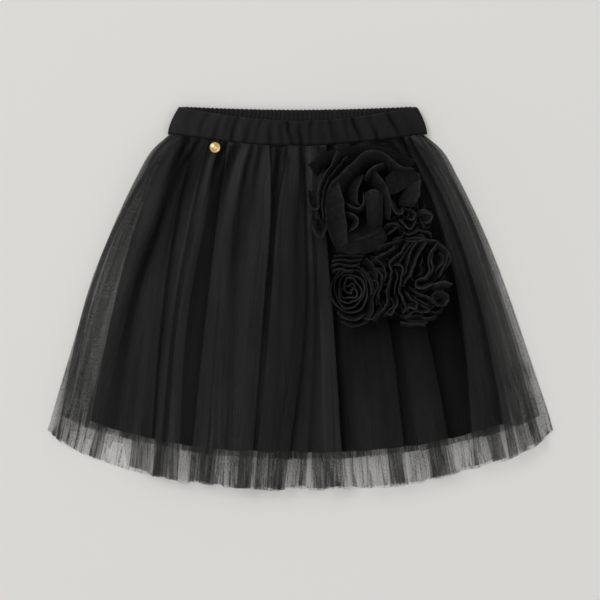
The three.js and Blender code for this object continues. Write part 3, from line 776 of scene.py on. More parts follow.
def pressed(x, y):
    """How free the cloth is to swell: 0 beneath the rosettes and the charm, 1 away from them."""
    spots = [(bed.x, bed.y, *PRESS_HALF[node]) for node, bed in BEDS.items()]
    spots.append((*CHARM_PLACE, CHARM_RADIUS + 3, CHARM_RADIUS + 3))
    least = np.ones_like(x)
    for cx, cy, half_x, half_y in spots:
        d = np.hypot((x - cx) / half_x, (y - cy) / half_y)
        least = np.minimum(least, smooth((d - 1.28) / 0.25))
    return least


def surface_z(x, y):
    """Top of the outer front at a point, over the highest ply of its folds."""
    x = np.asarray(x, float)
    y = np.asarray(y, float)
    low = np.zeros(np.broadcast(x, y).shape)
    high = np.ones_like(low)
    for _ in range(24):
        t = (low + high) / 2
        above = along_y(x, t) > y
        low = np.where(above, t, low)
        high = np.where(above, high, t)
    t = (low + high) / 2
    s = np.minimum(x - side_x("left", t), side_x("right", t) - x)
    return base_at(LAYERS[-1], t, s) + CLOTH + 2 * ply_at("outer", t)


def fold_edge(fold, t):
    return float(through(FOLD_STATIONS, (fold.seam, fold.fifth, fold.half, fold.hem), t))


def fold_points(fold, t, opened):
    """X and level of the points of one fold on a line across the panel."""
    edge = fold_edge(fold, t)
    if fold.lean == 0:
        return [(edge, 2 * (1 - fold.tuck))]
    tuck = max(fold.tuck * mix(0.4, 1, t), 2.4 * TURN)
    right = edge if fold.lean > 0 else edge + tuck
    left = right - tuck
    xs = (right - TURN, right, right - TURN, left + TURN, left, left + TURN)
    levels = (2, 1.5, 1, 1, 0.5, 0) if fold.lean > 0 else (0, 0.5, 1, 1, 1.5, 2)
    points = [
        (float(mix(edge + (k - 2.5) * TURN, x, opened)), level)
        for k, (x, level) in enumerate(zip(xs, levels))
    ]
    if fold.lean > 0:
        points.append((float(mix(edge + 3.5 * TURN, right + 1.2, opened)), 0))
    else:
        points.insert(0, (float(mix(edge - 3.5 * TURN, left - 1.2, opened)), 0))
    return points


def front_light(x, t):
    """Painted light and shade of the front's cloth: lighter and darker runs, painted shade beside their
    edges with a painted highlight along each edge, the painted light and shade of the pleat and gather
    lines, uneven streaks and clouds of colour, and a painted shadow beneath the rosettes.
    """
    folds = FOLDS["outer_front"]
    edges = [through(FOLD_STATIONS, (fold.seam, fold.fifth, fold.half, fold.hem), t) for fold in folds]
    left = side_x("left", t)
    right = side_x("right", t)
    # painted light of each run between the fold edges, with more at the hem by gain
    light = np.full(x.shape, folds[0].tone)
    run_painted_lights = [fold.tone + fold.gain * smooth((t - 0.3) / 0.5) for fold in folds[1:]] + [1.05]
    for fold, edge, tone in zip(folds, edges, run_painted_lights):
        light = mix(light, tone, smooth((x - edge) / fold.soft + 0.5))
    # painted light rounding each run: lighter in its middle, and painted shade towards its edge by slope
    slopes = [fold.slope for fold in folds] + [0]
    for start, end, slope in zip([left, *edges], [*edges, right], slopes):
        u = (x - start) / np.maximum(end - start, 1)
        light = light * np.where((u >= 0) & (u < 1), 0.9 + 0.16 * arch(u) - slope * (u * u - 0.3), 1)
    # painted shade beside each fold's edge, and a painted highlight (rim) along the edge itself
    for fold, edge in zip(folds, edges):
        away = (x - edge) * (fold.lean or 1)
        kept = fold.shade * (1 - fold.fade * smooth((t - 0.35) / 0.5))
        if fold.lean:
            dark = np.exp(-np.maximum(away, 0) / fold.reach) * smooth(away / 1.2 + 0.5)
            rim = np.exp(-(((away + 1.6) / 1.3) ** 2))
        else:
            dark = np.exp(-((away / fold.reach) ** 2))
            rim = 0
        light = light * (1 - kept * dark) * (1 + 0.22 * rim)
    # painted light and shade of the pleat and gather lines below the seam; the streaks and clouds are
    # uneven colour
    f = (x - left) / (right - left)
    along_seam = f * (BAND_SEAM[1] - BAND_SEAM[0])
    drift = 2 * ripple(t * 300, 70, 91)
    painted_pleat_shade = ripple(along_seam + 0.4 * drift, 4.4, 92) * smooth(t / 0.012) * (1 - smooth((t - 0.03) / 0.2))
    gathers = ripple(along_seam + drift, 9, 93) * (1 - smooth((t - 0.12) / 0.45))
    streaks = ripple(along_seam, 2.6, 94)
    y = along_y(x, t)
    clouds = crumple(x, y, 15, 42, 95)
    light = light * np.exp(0.95 * painted_pleat_shade + 0.5 * gathers + 0.12 * streaks + 0.14 * clouds)
    light = np.minimum(light, 1.55)
    # painted shadow beneath the rosette cluster, fading down the skirt
    below_cluster = np.clip(-24 - y, 0, None)
    beneath = smooth((x - 40) / 14) * smooth((168 - x) / 14) * smooth((30 - y) / 20)
    return light * (1 - 0.62 * beneath * np.exp(-below_cluster / 80))


def panel_controls(layer, t):
    """Control points of a panel on line t: X, level and lift of each, from left to right."""
    inset = 0 if layer.kind == "outer" else float(on_line(layer.kind, t))
    left = float(side_x("left", t)) + inset
    right = float(side_x("right", t)) - inset
    opened = float(smooth((t - 0.03) / 0.11))
    points = [(left, 0.0, 0.0)]
    finer = [4]

    def run(to_x, to_level, crest):
        from_x, from_level = points[-1][:2]
        for u in (0.2, 0.4, 0.6, 0.8):
            level = mix(from_level, to_level, smooth(u))
            points.append((mix(from_x, to_x, u), float(level), crest * math.sin(math.pi * u)))
            finer.append(5)

    for fold in FOLDS[layer.name]:
        placed = fold_points(fold, t, opened)
        run(*placed[0], fold.crest)
        count = len(placed)
        for k, (x, level) in enumerate(placed):
            points.append((x, level, 0.0))
            plain_ply = count > 1 and k == (3 if fold.lean > 0 else 4)
            finer.append(5 if k == 0 else 7 if plain_ply else 3)
    run(right, 0, 0)
    points.append((right, 0.0, 0.0))
    finer.append(5)
    times = FINER_FRONT[layer.kind] if layer.side == "front" else 1
    return points, [count * times for count in finer[1:]]


def refine(points, finer):
    """Rounds a row of control points; each stretch gets its own number of steps."""
    p = np.asarray(points, float)
    gaps = np.sqrt(np.maximum(np.hypot(*np.diff(p[:, :2], axis=0).T), 1e-6))
    plane = p[:, :2]
    tangent = np.empty_like(plane)
    tangent[0] = (plane[1] - plane[0]) / gaps[0]
    tangent[-1] = (plane[-1] - plane[-2]) / gaps[-1]
    before = (plane[1:-1] - plane[:-2]) / gaps[:-1, None]
    after = (plane[2:] - plane[1:-1]) / gaps[1:, None]
    whole = (plane[2:] - plane[:-2]) / (gaps[:-1] + gaps[1:])[:, None]
    tangent[1:-1] = before - whole + after
    rows = []
    for i, steps in enumerate(finer):
        u = np.arange(steps)[:, None] / steps
        a = (1 - u) ** 2
        curve = (
            a * (1 + 2 * u) * plane[i]
            + u * a * gaps[i] * tangent[i]
            + u * u * (3 - 2 * u) * plane[i + 1]
            - u * u * (1 - u) * gaps[i] * tangent[i + 1]
        )
        rows.append(np.hstack((curve, mix(p[i, 2:], p[i + 1, 2:], u))))
    rows.append(p[-1:])
    return np.vstack(rows)


def panel_grid(layer, lines, hem_share):
    """Points of a panel in metres, with how dense its cloth lies and its painted light and shade at each.
    """
    settings = bpy.context.scene.skirt_sizes
    rows = []
    for t in lines:
        points, finer = panel_controls(layer, t)
        ply = float(ply_at(layer.kind, t))
        rows.append(refine([(x, level * ply, lift) for x, level, lift in points], finer))
    grid = np.array(rows)
    x, rise, lift = (grid[:, :, k] for k in range(3))
    t = np.broadcast_to(np.asarray(lines)[:, None], x.shape)
    own = t * hem_line(layer.kind, across(x, t)) / hem_share
    y = along_y(x, own)
    seam = seam_y(layer.side, across(x, t)) - seam_y("front", across(x, t))
    y = y + seam * (1 - smooth(t / 0.08)) - SEAM_GAP * (t < 0.001)
    s = np.minimum(x - side_x("left", own), side_x("right", own) - x)

    hem_row = grid[-1]
    cut = np.concatenate(([0], np.cumsum(np.hypot(np.diff(hem_row[:, 0]), np.diff(hem_row[:, 1])))))
    spans = np.hypot(np.diff(x, axis=1), np.diff(rise, axis=1))
    ratio = np.diff(cut)[None, :] / np.maximum(spans, 0.05)
    ratio = np.concatenate((ratio[:, :1], (ratio[:, 1:] + ratio[:, :-1]) / 2, ratio[:, -1:]), axis=1)
    kernel = np.ones(9) / 9
    ratio = np.array([np.convolve(np.pad(row, 4, mode="edge"), kernel, "valid") for row in ratio])
    folded = (rise > 0.3 * FULL_PLY["outer"]) & (rise < 1.7 * FULL_PLY["outer"])
    dense = np.clip(ratio, 0.85, 3.2) * np.where(folded, 2.3, 1)
    dense = dense * (1 + (0.75 + 1.2 * (1 - smooth(t / 0.25))) * (1 - smooth(s / 22)))

    free = layer.name == "outer_front"
    seed = 40 + 7 * LAYERS.index(layer)
    cloth = np.broadcast_to(cut[None, :], x.shape)
    swell = lift * on_line("open", own) * smooth(s / 14)
    swell = swell * pressed(x, y)
    pitch = settings.gather_pitch / MM
    drift = 4 * ripple(t * 300, 90, seed + 1)
    fine = ripple(cloth + drift, pitch, seed) * (1 - smooth((t - 0.02) / 0.3))
    middling = ripple(cloth + 2 * drift, pitch * 2.7, seed + 2)
    middling = middling * (1 - smooth((t - 0.25) / 0.6)) * smooth(t / 0.03)
    broad = ripple(cloth + drift, pitch * 6, seed + 3) * smooth(t / 0.15)
    height = settings.gather_height / MM if free else 0.35
    waves = height * (0.9 * fine + 0.9 * middling + 0.6 * broad)
    waves = (waves + height * 0.9) * mix(0.12, 1, pressed(x, y)) if free else waves * 0.6
    waves = waves * smooth(s / 12)
    if layer.name == "outer_back":
        waves = np.maximum(waves, 0)
    clear = SIDE_CLEARANCE * arch(s / on_line("ramp", own)) if free else 0
    z = CLOTH / 2 + base_at(layer, own, s) + rise + swell + waves + clear

    # painted light and shade of the front's runs and folds, the same on every front layer; painted shade
    # beside the back panels' folds; the streaks are uneven colour
    shade = front_light(x, own) if layer.side == "front" else np.full(x.shape, 0.85)
    if layer.side == "back":
        for fold in FOLDS[layer.name]:
            edge = np.array([fold_edge(fold, line) for line in lines])[:, None]
            shade = shade * (1 - fold.shade * np.exp(-np.abs(x - edge) / fold.reach))
    streak = 0.5 * ripple(cloth, 3.1, seed + 4) + 0.5 * ripple(cloth + 3 * drift, 7.7, seed + 5)
    shade = shade * (1 + 0.12 * streak * smooth((t - 0.05) / 0.2))
    near_hem = smooth((t / lines[-1] - 0.93) / 0.07)
    y = y + (1.1 * ripple(cloth, 13, seed + 6) + 0.5 * ripple(cloth, 4, seed + 8)) * near_hem
    if free:
        for tab in HEM_TABS:
            within = smooth((x - tab.left) / 5 + 0.5) * smooth((tab.right - x) / 5 + 0.5)
            y = y + tab.by * within * smooth((t - 0.8) / 0.2)
            dense = dense * (1 + (tab.close - 1) * within * smooth((t - 0.78) / 0.1))
    dense = dense * np.exp(0.3 * ripple(cloth, 1.9, seed + 9) + 0.3 * ripple(cloth + drift, 5.3, seed + 10))
    length = (1 - t) * CUT_LENGTH
    return {
        "points": np.stack((x, y, z), axis=2) * MM,
        "closeness": dense,
        "shade": shade,
        "cloth": np.stack((cloth, length, np.zeros_like(cloth)), axis=2) * MM,
    }


def quads_over(index):
    """The four corners of each quad between rows and columns of point numbers."""
    return np.stack((index[:-1, :-1], index[1:, :-1], index[1:, 1:], index[:-1, 1:]), axis=2).reshape(-1, 4)


def smooth_mesh(name, vertices, faces, attributes):
    """A mesh with rounded shading and one value or vector of each attribute for each point."""
    mesh = bpy.data.meshes.new(name)
    mesh.from_pydata(vertices.tolist(), [], faces.tolist())
    mesh.polygons.foreach_set("use_smooth", np.ones(len(mesh.polygons), bool))
    for key, values in attributes.items():
        kind = "FLOAT_VECTOR" if values.ndim == 3 else "FLOAT"
        layer = mesh.attributes.new(key, kind, "POINT")
        layer.data.foreach_set("vector" if values.ndim == 3 else "value", values.reshape(-1))
    mesh.update()
    return mesh


def grid_mesh(name, points, attributes=None, wrap=False, closed_rows=False):
    """A mesh of quads over rows and columns of points."""
    index = np.arange(points.shape[0] * points.shape[1]).reshape(points.shape[:2])
    if wrap:
        index = np.hstack((index, index[:, :1]))
    if closed_rows:
        index = np.vstack((index, index[:1]))
    return smooth_mesh(name, points.reshape(-1, 3), quads_over(index), attributes or {})


def place(mesh, material):
    """Puts a mesh in the scene with its material, riding on the skirt's one body."""
    obj = bpy.data.objects.new(mesh.name, mesh)
    bpy.context.collection.objects.link(obj)
    mesh.materials.append(material)
    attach(obj, "root")
    return obj


def joined_mesh(name, parts):
    """One mesh from several, each given as points of a grid and its attributes."""
    vertices, faces, values = [], [], {}
    start = 0
    for points, attributes in parts:
        count = points.shape[0] * points.shape[1]
        vertices.append(points.reshape(-1, 3))
        faces.append(quads_over(np.arange(count).reshape(points.shape[:2]) + start))
        for key, value in attributes.items():
            values.setdefault(key, []).append(value.reshape(-1))
        start += count
    joined = {key: np.concatenate(value) for key, value in values.items()}
    return smooth_mesh(name, np.vstack(vertices), np.vstack(faces), joined)


class Finish:
    """A material on a Principled shader, with small helpers for its nodes."""

    def __init__(self, name, colour, roughness, sheen=0.0, specular=0.5, metallic=0.0):
        self.material = bpy.data.materials.new(name)
        self.material.use_nodes = True
        self.tree = self.material.node_tree
        self.shader = self.tree.nodes["Principled BSDF"]
        self.shader.inputs["Base Color"].default_value = (*colour, 1)
        self.shader.inputs["Roughness"].default_value = roughness
        self.shader.inputs["Metallic"].default_value = metallic
        self.shader.inputs["Specular IOR Level"].default_value = specular
        self.shader.inputs["Sheen Weight"].default_value = sheen
        self.shader.inputs["Sheen Roughness"].default_value = 0.55

    def node(self, kind, settings=None, **inputs):
        node = self.tree.nodes.new(kind)
        for key, value in (settings or {}).items():
            setattr(node, key, value)
        for key, value in inputs.items():
            numbered = key[0] == "i" and key[1:].isdigit()
            socket = node.inputs[int(key[1:]) if numbered else key.replace("_", " ")]
            if isinstance(value, bpy.types.NodeSocket):
                self.tree.links.new(value, socket)
            else:
                socket.default_value = value
        return node

    def math(self, operation, a, b=0.0):
        return self.node("ShaderNodeMath", {"operation": operation}, i0=a, i1=b).outputs[0]

    def attribute(self, name, output="Fac"):
        return self.node("ShaderNodeAttribute", {"attribute_name": name}).outputs[output]

    def place(self):
        return self.node("ShaderNodeTexCoord").outputs["Object"]

    def noise(self, vector, scale, detail=2.0, roughness=0.5):
        return self.node(
            "ShaderNodeTexNoise", None, Vector=vector, Scale=scale, Detail=detail, Roughness=roughness
        ).outputs["Fac"]

    def stretched(self, vector, scale):
        return self.node("ShaderNodeMapping", None, Vector=vector, Scale=scale).outputs[0]

    def between(self, value, low, high, to_low, to_high):
        return self.node(
            "ShaderNodeMapRange", None,
            Value=value, From_Min=low, From_Max=high, To_Min=to_low, To_Max=to_high,
        ).outputs[0]

    def tint(self, colour, factor):
        node = self.node("ShaderNodeVectorMath", {"operation": "SCALE"}, i0=(*colour,))
        self.tree.links.new(factor, node.inputs["Scale"])
        self.tree.links.new(node.outputs[0], self.shader.inputs["Base Color"])

    def bump(self, height, strength, distance):
        node = self.node("ShaderNodeBump", None, Strength=strength, Distance=distance, Height=height)
        self.tree.links.new(node.outputs[0], self.shader.inputs["Normal"])


def tulle_finish(name, colour, opacity, net_cell):
    """Sheer net: threads round small cells, denser where the cloth is gathered, its colour carrying the
    painted light and shade of the shade attribute.
    """
    finish = Finish(name, colour, roughness=0.9, sheen=0.01, specular=0.03)
    cloth = finish.attribute("cloth", "Vector")
    cells = finish.node(
        "ShaderNodeTexVoronoi", {"feature": "DISTANCE_TO_EDGE"}, Vector=cloth, Scale=1 / net_cell
    ).outputs["Distance"]
    threads = finish.between(cells, 0.03, 0.2, 1.7, 0.65)
    speckle = finish.noise(finish.stretched(cloth, (780, 480, 1)), 1.0, 3, 0.7)
    speckle = finish.between(speckle, 0.3, 0.7, 0.3, 1.7)
    streaks = finish.noise(finish.stretched(cloth, (210, 22, 1)), 1.0, 2, 0.6)
    streaks = finish.between(streaks, 0.3, 0.7, 0.75, 1.25)
    pulled = finish.noise(finish.stretched(cloth, (150, 9, 1)), 1.0, 1, 0.5)
    pulled = finish.math("ABSOLUTE", finish.math("SUBTRACT", pulled, 0.5))
    length = finish.node("ShaderNodeSeparateXYZ", None, Vector=cloth).outputs["Y"]
    near_hem = finish.between(length, 0.03, 0.09, 1.0, 0.12)
    lines = finish.math("MULTIPLY", finish.between(pulled, 0.0, 0.03, 2.0, 0.0), near_hem)
    streaks = finish.math("MULTIPLY", streaks, finish.math("ADD", lines, 1.0))
    cover = finish.math("MULTIPLY", finish.math("MULTIPLY", threads, speckle), streaks)
    cover = finish.math("MINIMUM", finish.math("MULTIPLY", cover, opacity), 0.9)
    clear = finish.math("SUBTRACT", 1.0, cover)
    clear = finish.math("POWER", clear, finish.attribute("closeness"))
    alpha = finish.math("SUBTRACT", 1.0, clear)
    finish.tree.links.new(alpha, finish.shader.inputs["Alpha"])
    grain = finish.noise(finish.stretched(cloth, (300, 90, 1)), 1.0)
    grain = finish.between(grain, 0.3, 0.7, 0.85, 1.15)
    # painted light and shade from the shade attribute, times an uneven grain
    finish.tint(colour, finish.math("MULTIPLY", finish.attribute("shade"), grain))
    finish.bump(speckle, 0.25, 0.0004)
    return finish.material


def woven_finish(name, colour, roughness, sheen, pitch, depth, shaded=False):
    """Plain woven or knitted cloth, with a fine grain and slightly uneven dye; when shaded, its colour also
    carries the painted light and shade of the shade attribute.
    """
    finish = Finish(name, colour, roughness, sheen, specular=0.03)
    where = finish.place()
    grain = finish.noise(where, 1 / pitch, 2, 0.6)
    patches = finish.noise(where, 55, 3, 0.55)
    uneven = finish.math(
        "MULTIPLY",
        finish.between(grain, 0.3, 0.7, 0.85, 1.15),
        finish.between(patches, 0.3, 0.7, 0.88, 1.12),
    )
    # painted light and shade from the shade attribute
    if shaded:
        uneven = finish.math("MULTIPLY", uneven, finish.attribute("shade"))
    finish.tint(colour, uneven)
    finish.bump(grain, 0.5, depth)
    return finish


def knit_finish(colour):
    """Jersey knit of the waistband: fine wales up the band and a soft nap, with the painted light and shade
    of the shade attribute in its colour.
    """
    finish = Finish("band_knit", colour, roughness=0.85, sheen=0.03, specular=0.08)
    where = finish.place()
    wales = finish.node(
        "ShaderNodeTexWave", {"bands_direction": "X"}, Vector=where, Scale=260, Distortion=1.2, Detail=2
    ).outputs["Fac"]
    loops = finish.noise(finish.stretched(where, (900, 1500, 900)), 1.0, 2, 0.6)
    patches = finish.noise(finish.stretched(where, (160, 40, 160)), 1.0, 3, 0.6)
    height = finish.math("ADD", finish.math("MULTIPLY", wales, 0.6), loops)
    uneven = finish.math(
        "MULTIPLY",
        finish.between(height, 0.3, 1.2, 0.8, 1.2),
        finish.between(patches, 0.3, 0.7, 0.85, 1.15),
    )
    # painted light and shade from the shade attribute
    uneven = finish.math("MULTIPLY", uneven, finish.attribute("shade"))
    finish.tint(colour, uneven)
    finish.bump(height, 0.5, 0.0003)
    return finish.material


def rosette_finish(colour):
    """Doubled tulle of the rosettes, with the painted light and shade of the shade attribute: a painted
    highlight along the folded rims.
    """
    finish = Finish("rosette_tulle", colour, roughness=0.85, sheen=0.01, specular=0.04)
    where = finish.place()
    speckle = finish.noise(where, 900, 2, 0.6)
    streaks = finish.noise(where, 260, 2, 0.6)
    uneven = finish.math(
        "MULTIPLY",
        finish.between(speckle, 0.3, 0.7, 0.75, 1.25),
        finish.between(streaks, 0.3, 0.7, 0.8, 1.2),
    )
    # painted light and shade from the shade attribute
    finish.tint(colour, finish.math("MULTIPLY", uneven, finish.attribute("shade")))
    finish.bump(speckle, 0.35, 0.0003)
    return finish.material


def band_rows(side, rise, f):
    """X and Y of the waistband at a share of its height, at fractions of the way across."""
    seam_x = mix(BAND_SEAM[0], BAND_SEAM[1], f)
    left = mix(BAND_SEAM[0], BAND_TOP[0], rise**1.6)
    right = mix(BAND_SEAM[1], BAND_TOP[1], rise**1.6)
    top = BAND_TOP_Y - BAND_TOP_DIP[side] * arch(f)
    y = mix(seam_y(side, across(seam_x, 0.0)), top, rise)
    return mix(left, right, f), y, seam_x, right - left


def front_band_surface(rise, f):
    """Upper face of the front band, puffed between its creases, and its painted light and shade."""
    x, y, seam_x, width = band_rows("front", rise, f)
    from_side = np.minimum(f, 1 - f) * width
    inward = smooth(from_side / 9)
    wobble = 0.7 * ripple(rise * 30, 11, 5)
    furrow = np.zeros_like(x)
    for crease in BAND_CREASES:
        middle = crease.x * width / (BAND_SEAM[1] - BAND_SEAM[0]) + crease.tilt * rise + wobble
        away = (x - middle) / crease.width
        furrow = furrow + crease.depth * np.exp(-(away**2)) * (0.75 + 0.25 * np.cos(3 * rise + crease.x))
    fine = 0.22 * ripple(seam_x + 2 * rise, 4.3, 21) + 0.15 * ripple(seam_x, 2.1, 22)
    gathered = smooth((seam_x + 108) / 12) * smooth((104 - seam_x) / 12)
    bottom = mix(BAND_SIDE_HEIGHT, BAND_BACK_HEIGHT, inward) + SEAM_GAP
    puff = BAND_PUFF * smooth(from_side / 12) * (0.62 + 0.38 * arch(rise))
    ridge = 0.5 * np.exp(-(((rise - 0.1) / 0.06) ** 2))
    z = bottom + BAND_WALL + puff - furrow * inward + (fine * gathered + ridge) * inward
    # painted shade in the creases and towards the right, painted light and shade on the fine gathers, and
    # painted shade along the seam
    shade = 1.3 - 0.55 * np.clip(furrow, 0, 1.5) - 0.4 * smooth((seam_x + 70) / 90)
    shade = (shade + 0.5 * np.clip(fine, -0.2, 0.2) * gathered) * (1 - 0.3 * np.exp(-((rise / 0.05) ** 2)))
    return x, y, z, bottom, shade


def band_shell(name, surface, columns):
    """A closed tube of cloth round the elastic: over the face, round the edges and back."""
    f = np.linspace(0, 1, columns)
    f = mix(f, smooth(f), 0.25)
    face = np.linspace(0, 1, 22)
    rows, shades = [], []
    for rise in face:
        x, y, z, _, shade = surface(rise, f)
        edge_drop = 1.1 * (1 - smooth(rise / 0.05)) + 1.3 * (1 - smooth((1 - rise) / 0.06))
        rows.append((x, y, z - edge_drop))
        shades.append(shade)
    for rise in (1, 0.97, 0.6, 0.3, 0.03, 0):
        x, y, z, bottom, shade = surface(rise, f)
        lift = 0.9 if rise in (0, 1) else 0
        rows.append((x, y, bottom + lift))
        # the back of the tube is painted in shade
        shades.append(shade * 0.6)
    points = np.array(rows).transpose(0, 2, 1) * MM
    return grid_mesh(name, points, {"shade": np.array(shades)}, closed_rows=True)


def back_band_surface(rise, f):
    """Inside of the back band: even ribs pulled up by the elastic, with a scalloped top."""
    pitch = bpy.context.scene.skirt_sizes.rib_pitch / MM
    x, y, seam_x, width = band_rows("back", rise, f)
    from_side = np.minimum(f, 1 - f) * width
    phase = 2 * np.pi * (seam_x + 0.8 * ripple(seam_x, 17, 31)) / pitch
    rib = 0.5 + 0.5 * np.cos(phase)
    top = mix(BAND_SIDE_HEIGHT, BAND_BACK_HEIGHT, smooth(from_side / 9))
    z = top - 0.15 - 1.1 * (1 - rib) * smooth(from_side / 12)
    y = y + (0.45 * rib + 0.6) * smooth((rise - 0.8) / 0.2)
    # painted light on the ribs' tops and painted shade between them
    shade = 0.8 + 0.35 * rib
    return x, y, z, np.full_like(x, 0.15), shade


# A doubled strip from root to rim and back: side of the cloth, share of the way up, and painted light, from
# painted shade at the root to a painted highlight along the rim
STRIP_SECTION = (
    (-1.0, 0.0, 0.2),
    (-1.0, 0.25, 0.34),
    (-1.1, 0.5, 0.6),
    (-1.1, 0.75, 0.85),
    (-1.2, 0.91, 1.05),
    (-0.8, 0.98, 1.45),
    (0.0, 1.0, 1.7),
    (0.8, 0.98, 1.45),
    (1.2, 0.91, 1.05),
    (1.1, 0.75, 0.85),
    (1.1, 0.5, 0.6),
    (1.0, 0.25, 0.34),
    (1.0, 0.0, 0.2),
)


def path_normals(path):
    step = np.gradient(path, axis=0)
    step /= np.maximum(np.linalg.norm(step, axis=1), 1e-9)[:, None]
    return np.column_stack((step[:, 1], -step[:, 0]))


def curve(points, steps):
    """Evenly spaced points on a smooth curve through a few given ones."""
    p = np.asarray(points, float)
    keys = np.concatenate(([0], np.cumsum(np.hypot(*np.diff(p, axis=0).T))))
    fine = np.linspace(0, keys[-1], steps)
    return np.column_stack([through(keys, p[:, k], fine) for k in range(2)])


def strip(root, rim, low, high, crown=0.0, light=1.0, face=1.0):
    """A doubled strip of tulle between its sewn root and its folded rim, in metres."""
    normal = path_normals(rim)
    base = surface_z(root[:, 0], root[:, 1]) + SEAM_GAP
    rows, shades = [], []
    for side, share, shade in STRIP_SECTION:
        xy = mix(root, rim, share**1.25) + normal * (side * RIM_PLY / 2)
        z = base + mix(low, high, share**0.8) + crown * math.sin(math.pi * share)
        rows.append(np.column_stack((xy, z)))
        # painted light: the rim keeps its painted highlight, and face lifts the painted shade of the sides
        # towards even
        rim_light = shade if shade > 1 else mix(shade, 1, face)
        shades.append(rim_light * light * np.ones(len(rim)))
    return np.array(rows) * MM, {"shade": np.array(shades)}


def petal_strip(petal, index):
    """One listed petal, a little uneven along its rim."""
    length = np.sum(np.hypot(*np.diff(np.asarray(petal.rim, float), axis=0).T))
    steps = max(24, int(length * 1.4))
    rim = curve(petal.rim, steps)
    root = curve(petal.root, steps)
    along = np.linspace(0, length, steps)
    rim = rim + path_normals(rim) * (0.5 * ripple(along, 6, 60 + index))[:, None]
    ends = smooth(along / 6) * smooth((length - along) / 6)
    high = mix((petal.low + petal.high) / 2, petal.high, ends)
    high = high + 0.7 * ripple(along, 9, 80 + index)
    veins = 1 + 0.14 * ripple(along, 1.7, 120 + index) + 0.12 * ripple(along, 7, 150 + index)
    # wide petals get a lighter painted face, narrow ones keep more of the painted shade
    wide = petal.high - petal.low < 16
    return strip(root, rim, petal.low, high, petal.crown, petal.light * veins, 0.5 if wide else 0.15)


def ruffle_strip(spec):
    """A ribbon that runs in and out round its focus, as deep as the rosette reaches that way."""
    bed = BEDS[spec.node]
    steps = int(spec.waves * 34)
    turn = np.linspace(0, 2 * np.pi, 721) + math.radians(spec.start)
    ray_x = np.cos(turn) / bed.half_x
    ray_y = np.sin(turn) / bed.half_y
    from_x = (spec.focus_x - bed.x) / bed.half_x
    from_y = (spec.focus_y - bed.y) / bed.half_y
    a = ray_x**2 + ray_y**2
    b = ray_x * from_x + ray_y * from_y
    reach = (np.sqrt(b * b - a * (from_x**2 + from_y**2 - 1)) - b) / a
    passed = np.concatenate(([0], np.cumsum((reach[1:] + reach[:-1]) / 2)))
    along = np.linspace(0, 1, steps)
    angle = np.interp(along, passed / passed[-1], turn)
    far = np.interp(angle, turn, reach)
    phase = 2 * np.pi * spec.waves * along + 1.1 * ripple(along * 100, 8, spec.seed)
    swing = np.sin(phase) * (0.8 + 0.2 * ripple(along * spec.waves, 0.5, spec.seed + 1))
    share = mix(spec.inner, spec.outer, 0.5 + 0.5 * swing)
    skew = 1.3 / spec.waves * np.cos(phase) + 0.05 * ripple(along * 100, 7, spec.seed + 2)
    around = angle + skew + spec.swirl * (share - spec.inner)
    rim = np.column_stack((
        spec.focus_x + far * share * np.cos(around),
        spec.focus_y + far * share * np.sin(around),
    ))
    toward = around - 0.9
    sideways = np.column_stack((np.cos(toward), np.sin(toward)))
    root = rim - sideways * spec.lean * (0.6 + share[:, None])
    high = spec.height * (1 + 0.12 * ripple(along * 100, 3, spec.seed + 3)) - 2.5 * share
    light = 0.62 + 0.25 * ripple(along * 100, 2, spec.seed + 4)
    return strip(root, rim, 0, high, 0, light, 0.25)


def ribbon_strip(ribbon, index):
    """One listed ribbon on edge, its rim wavering as gathered tulle does."""
    length = np.sum(np.hypot(*np.diff(np.asarray(ribbon.rim, float), axis=0).T))
    steps = max(24, int(length * 2))
    along = np.linspace(0, length, steps)
    rim = curve(ribbon.rim, steps)
    rim = rim + path_normals(rim) * (0.6 * ripple(along, 4, 220 + index))[:, None]
    side = ribbon.side * (1 + 0.3 * ripple(along, 9, 240 + index))
    root = rim + path_normals(rim) * side[:, None]
    ends = smooth(along / 5) * smooth((length - along) / 5)
    high = ribbon.high * mix(0.6, 1, ends) + 1.2 * ripple(along, 8, 260 + index)
    flecks = 0.22 * ripple(along, 2.3, 280 + index) + 0.28 * ripple(along, 9, 300 + index)
    return strip(root, rim, 0, high, 1, ribbon.light * (1 + flecks), 0.3)


def spiral_strip():
    """The tight spiral, with painted light on the right of its rim and painted shade on the left."""
    steps = int(SPIRAL.turns * 120)
    along = np.linspace(0, 1, steps)
    angle = math.radians(SPIRAL.start) - along * SPIRAL.turns * 2 * np.pi
    grow = mix(0.07, 1, along**0.9)
    wave = 0.9 * np.sin(3.3 * angle)
    wave = wave + 1.3 * ripple(along * 100, 3.1, 41) + 0.5 * ripple(along * 100, 1.1, 44)
    rim = np.column_stack((
        SPIRAL.x + (SPIRAL.half_x * grow + wave) * np.cos(angle),
        SPIRAL.y + (SPIRAL.half_y * grow + wave) * np.sin(angle),
    ))
    outward = np.column_stack((np.cos(angle), np.sin(angle)))
    root = rim - outward * 1.8
    high = SPIRAL.height - 5 * along + 0.8 * ripple(along * 100, 1.7, 42)
    light = 0.9 + 0.4 * np.cos(angle + 0.5) + 0.35 * ripple(along * 100, 1.7, 43)
    return strip(root, rim, 0, high, 0, light, 0.0)


def rosette_bed(node):
    """The gathered roots that fill a rosette's footprint between its ruffles, painted very dark as the
    shade down between them.
    """
    bed = BEDS[node]
    share = np.linspace(0, 1, 15)[:, None]
    angle = np.linspace(0, 2 * np.pi, 91)[None, :]
    x = bed.x + bed.half_x * 0.95 * share * np.cos(angle)
    y = bed.y + bed.half_y * 0.95 * share * np.sin(angle)
    hills = crumple(x, y, 4, 4, 171)
    z = surface_z(x, y) + 0.2 + (bed.height + 1.5 * hills) * np.sqrt(1 - share**2)
    # painted shade of the depths between the ruffles
    light = 0.13 + 0.06 * hills
    return np.stack((x, y, z), axis=2) * MM, {"shade": light}


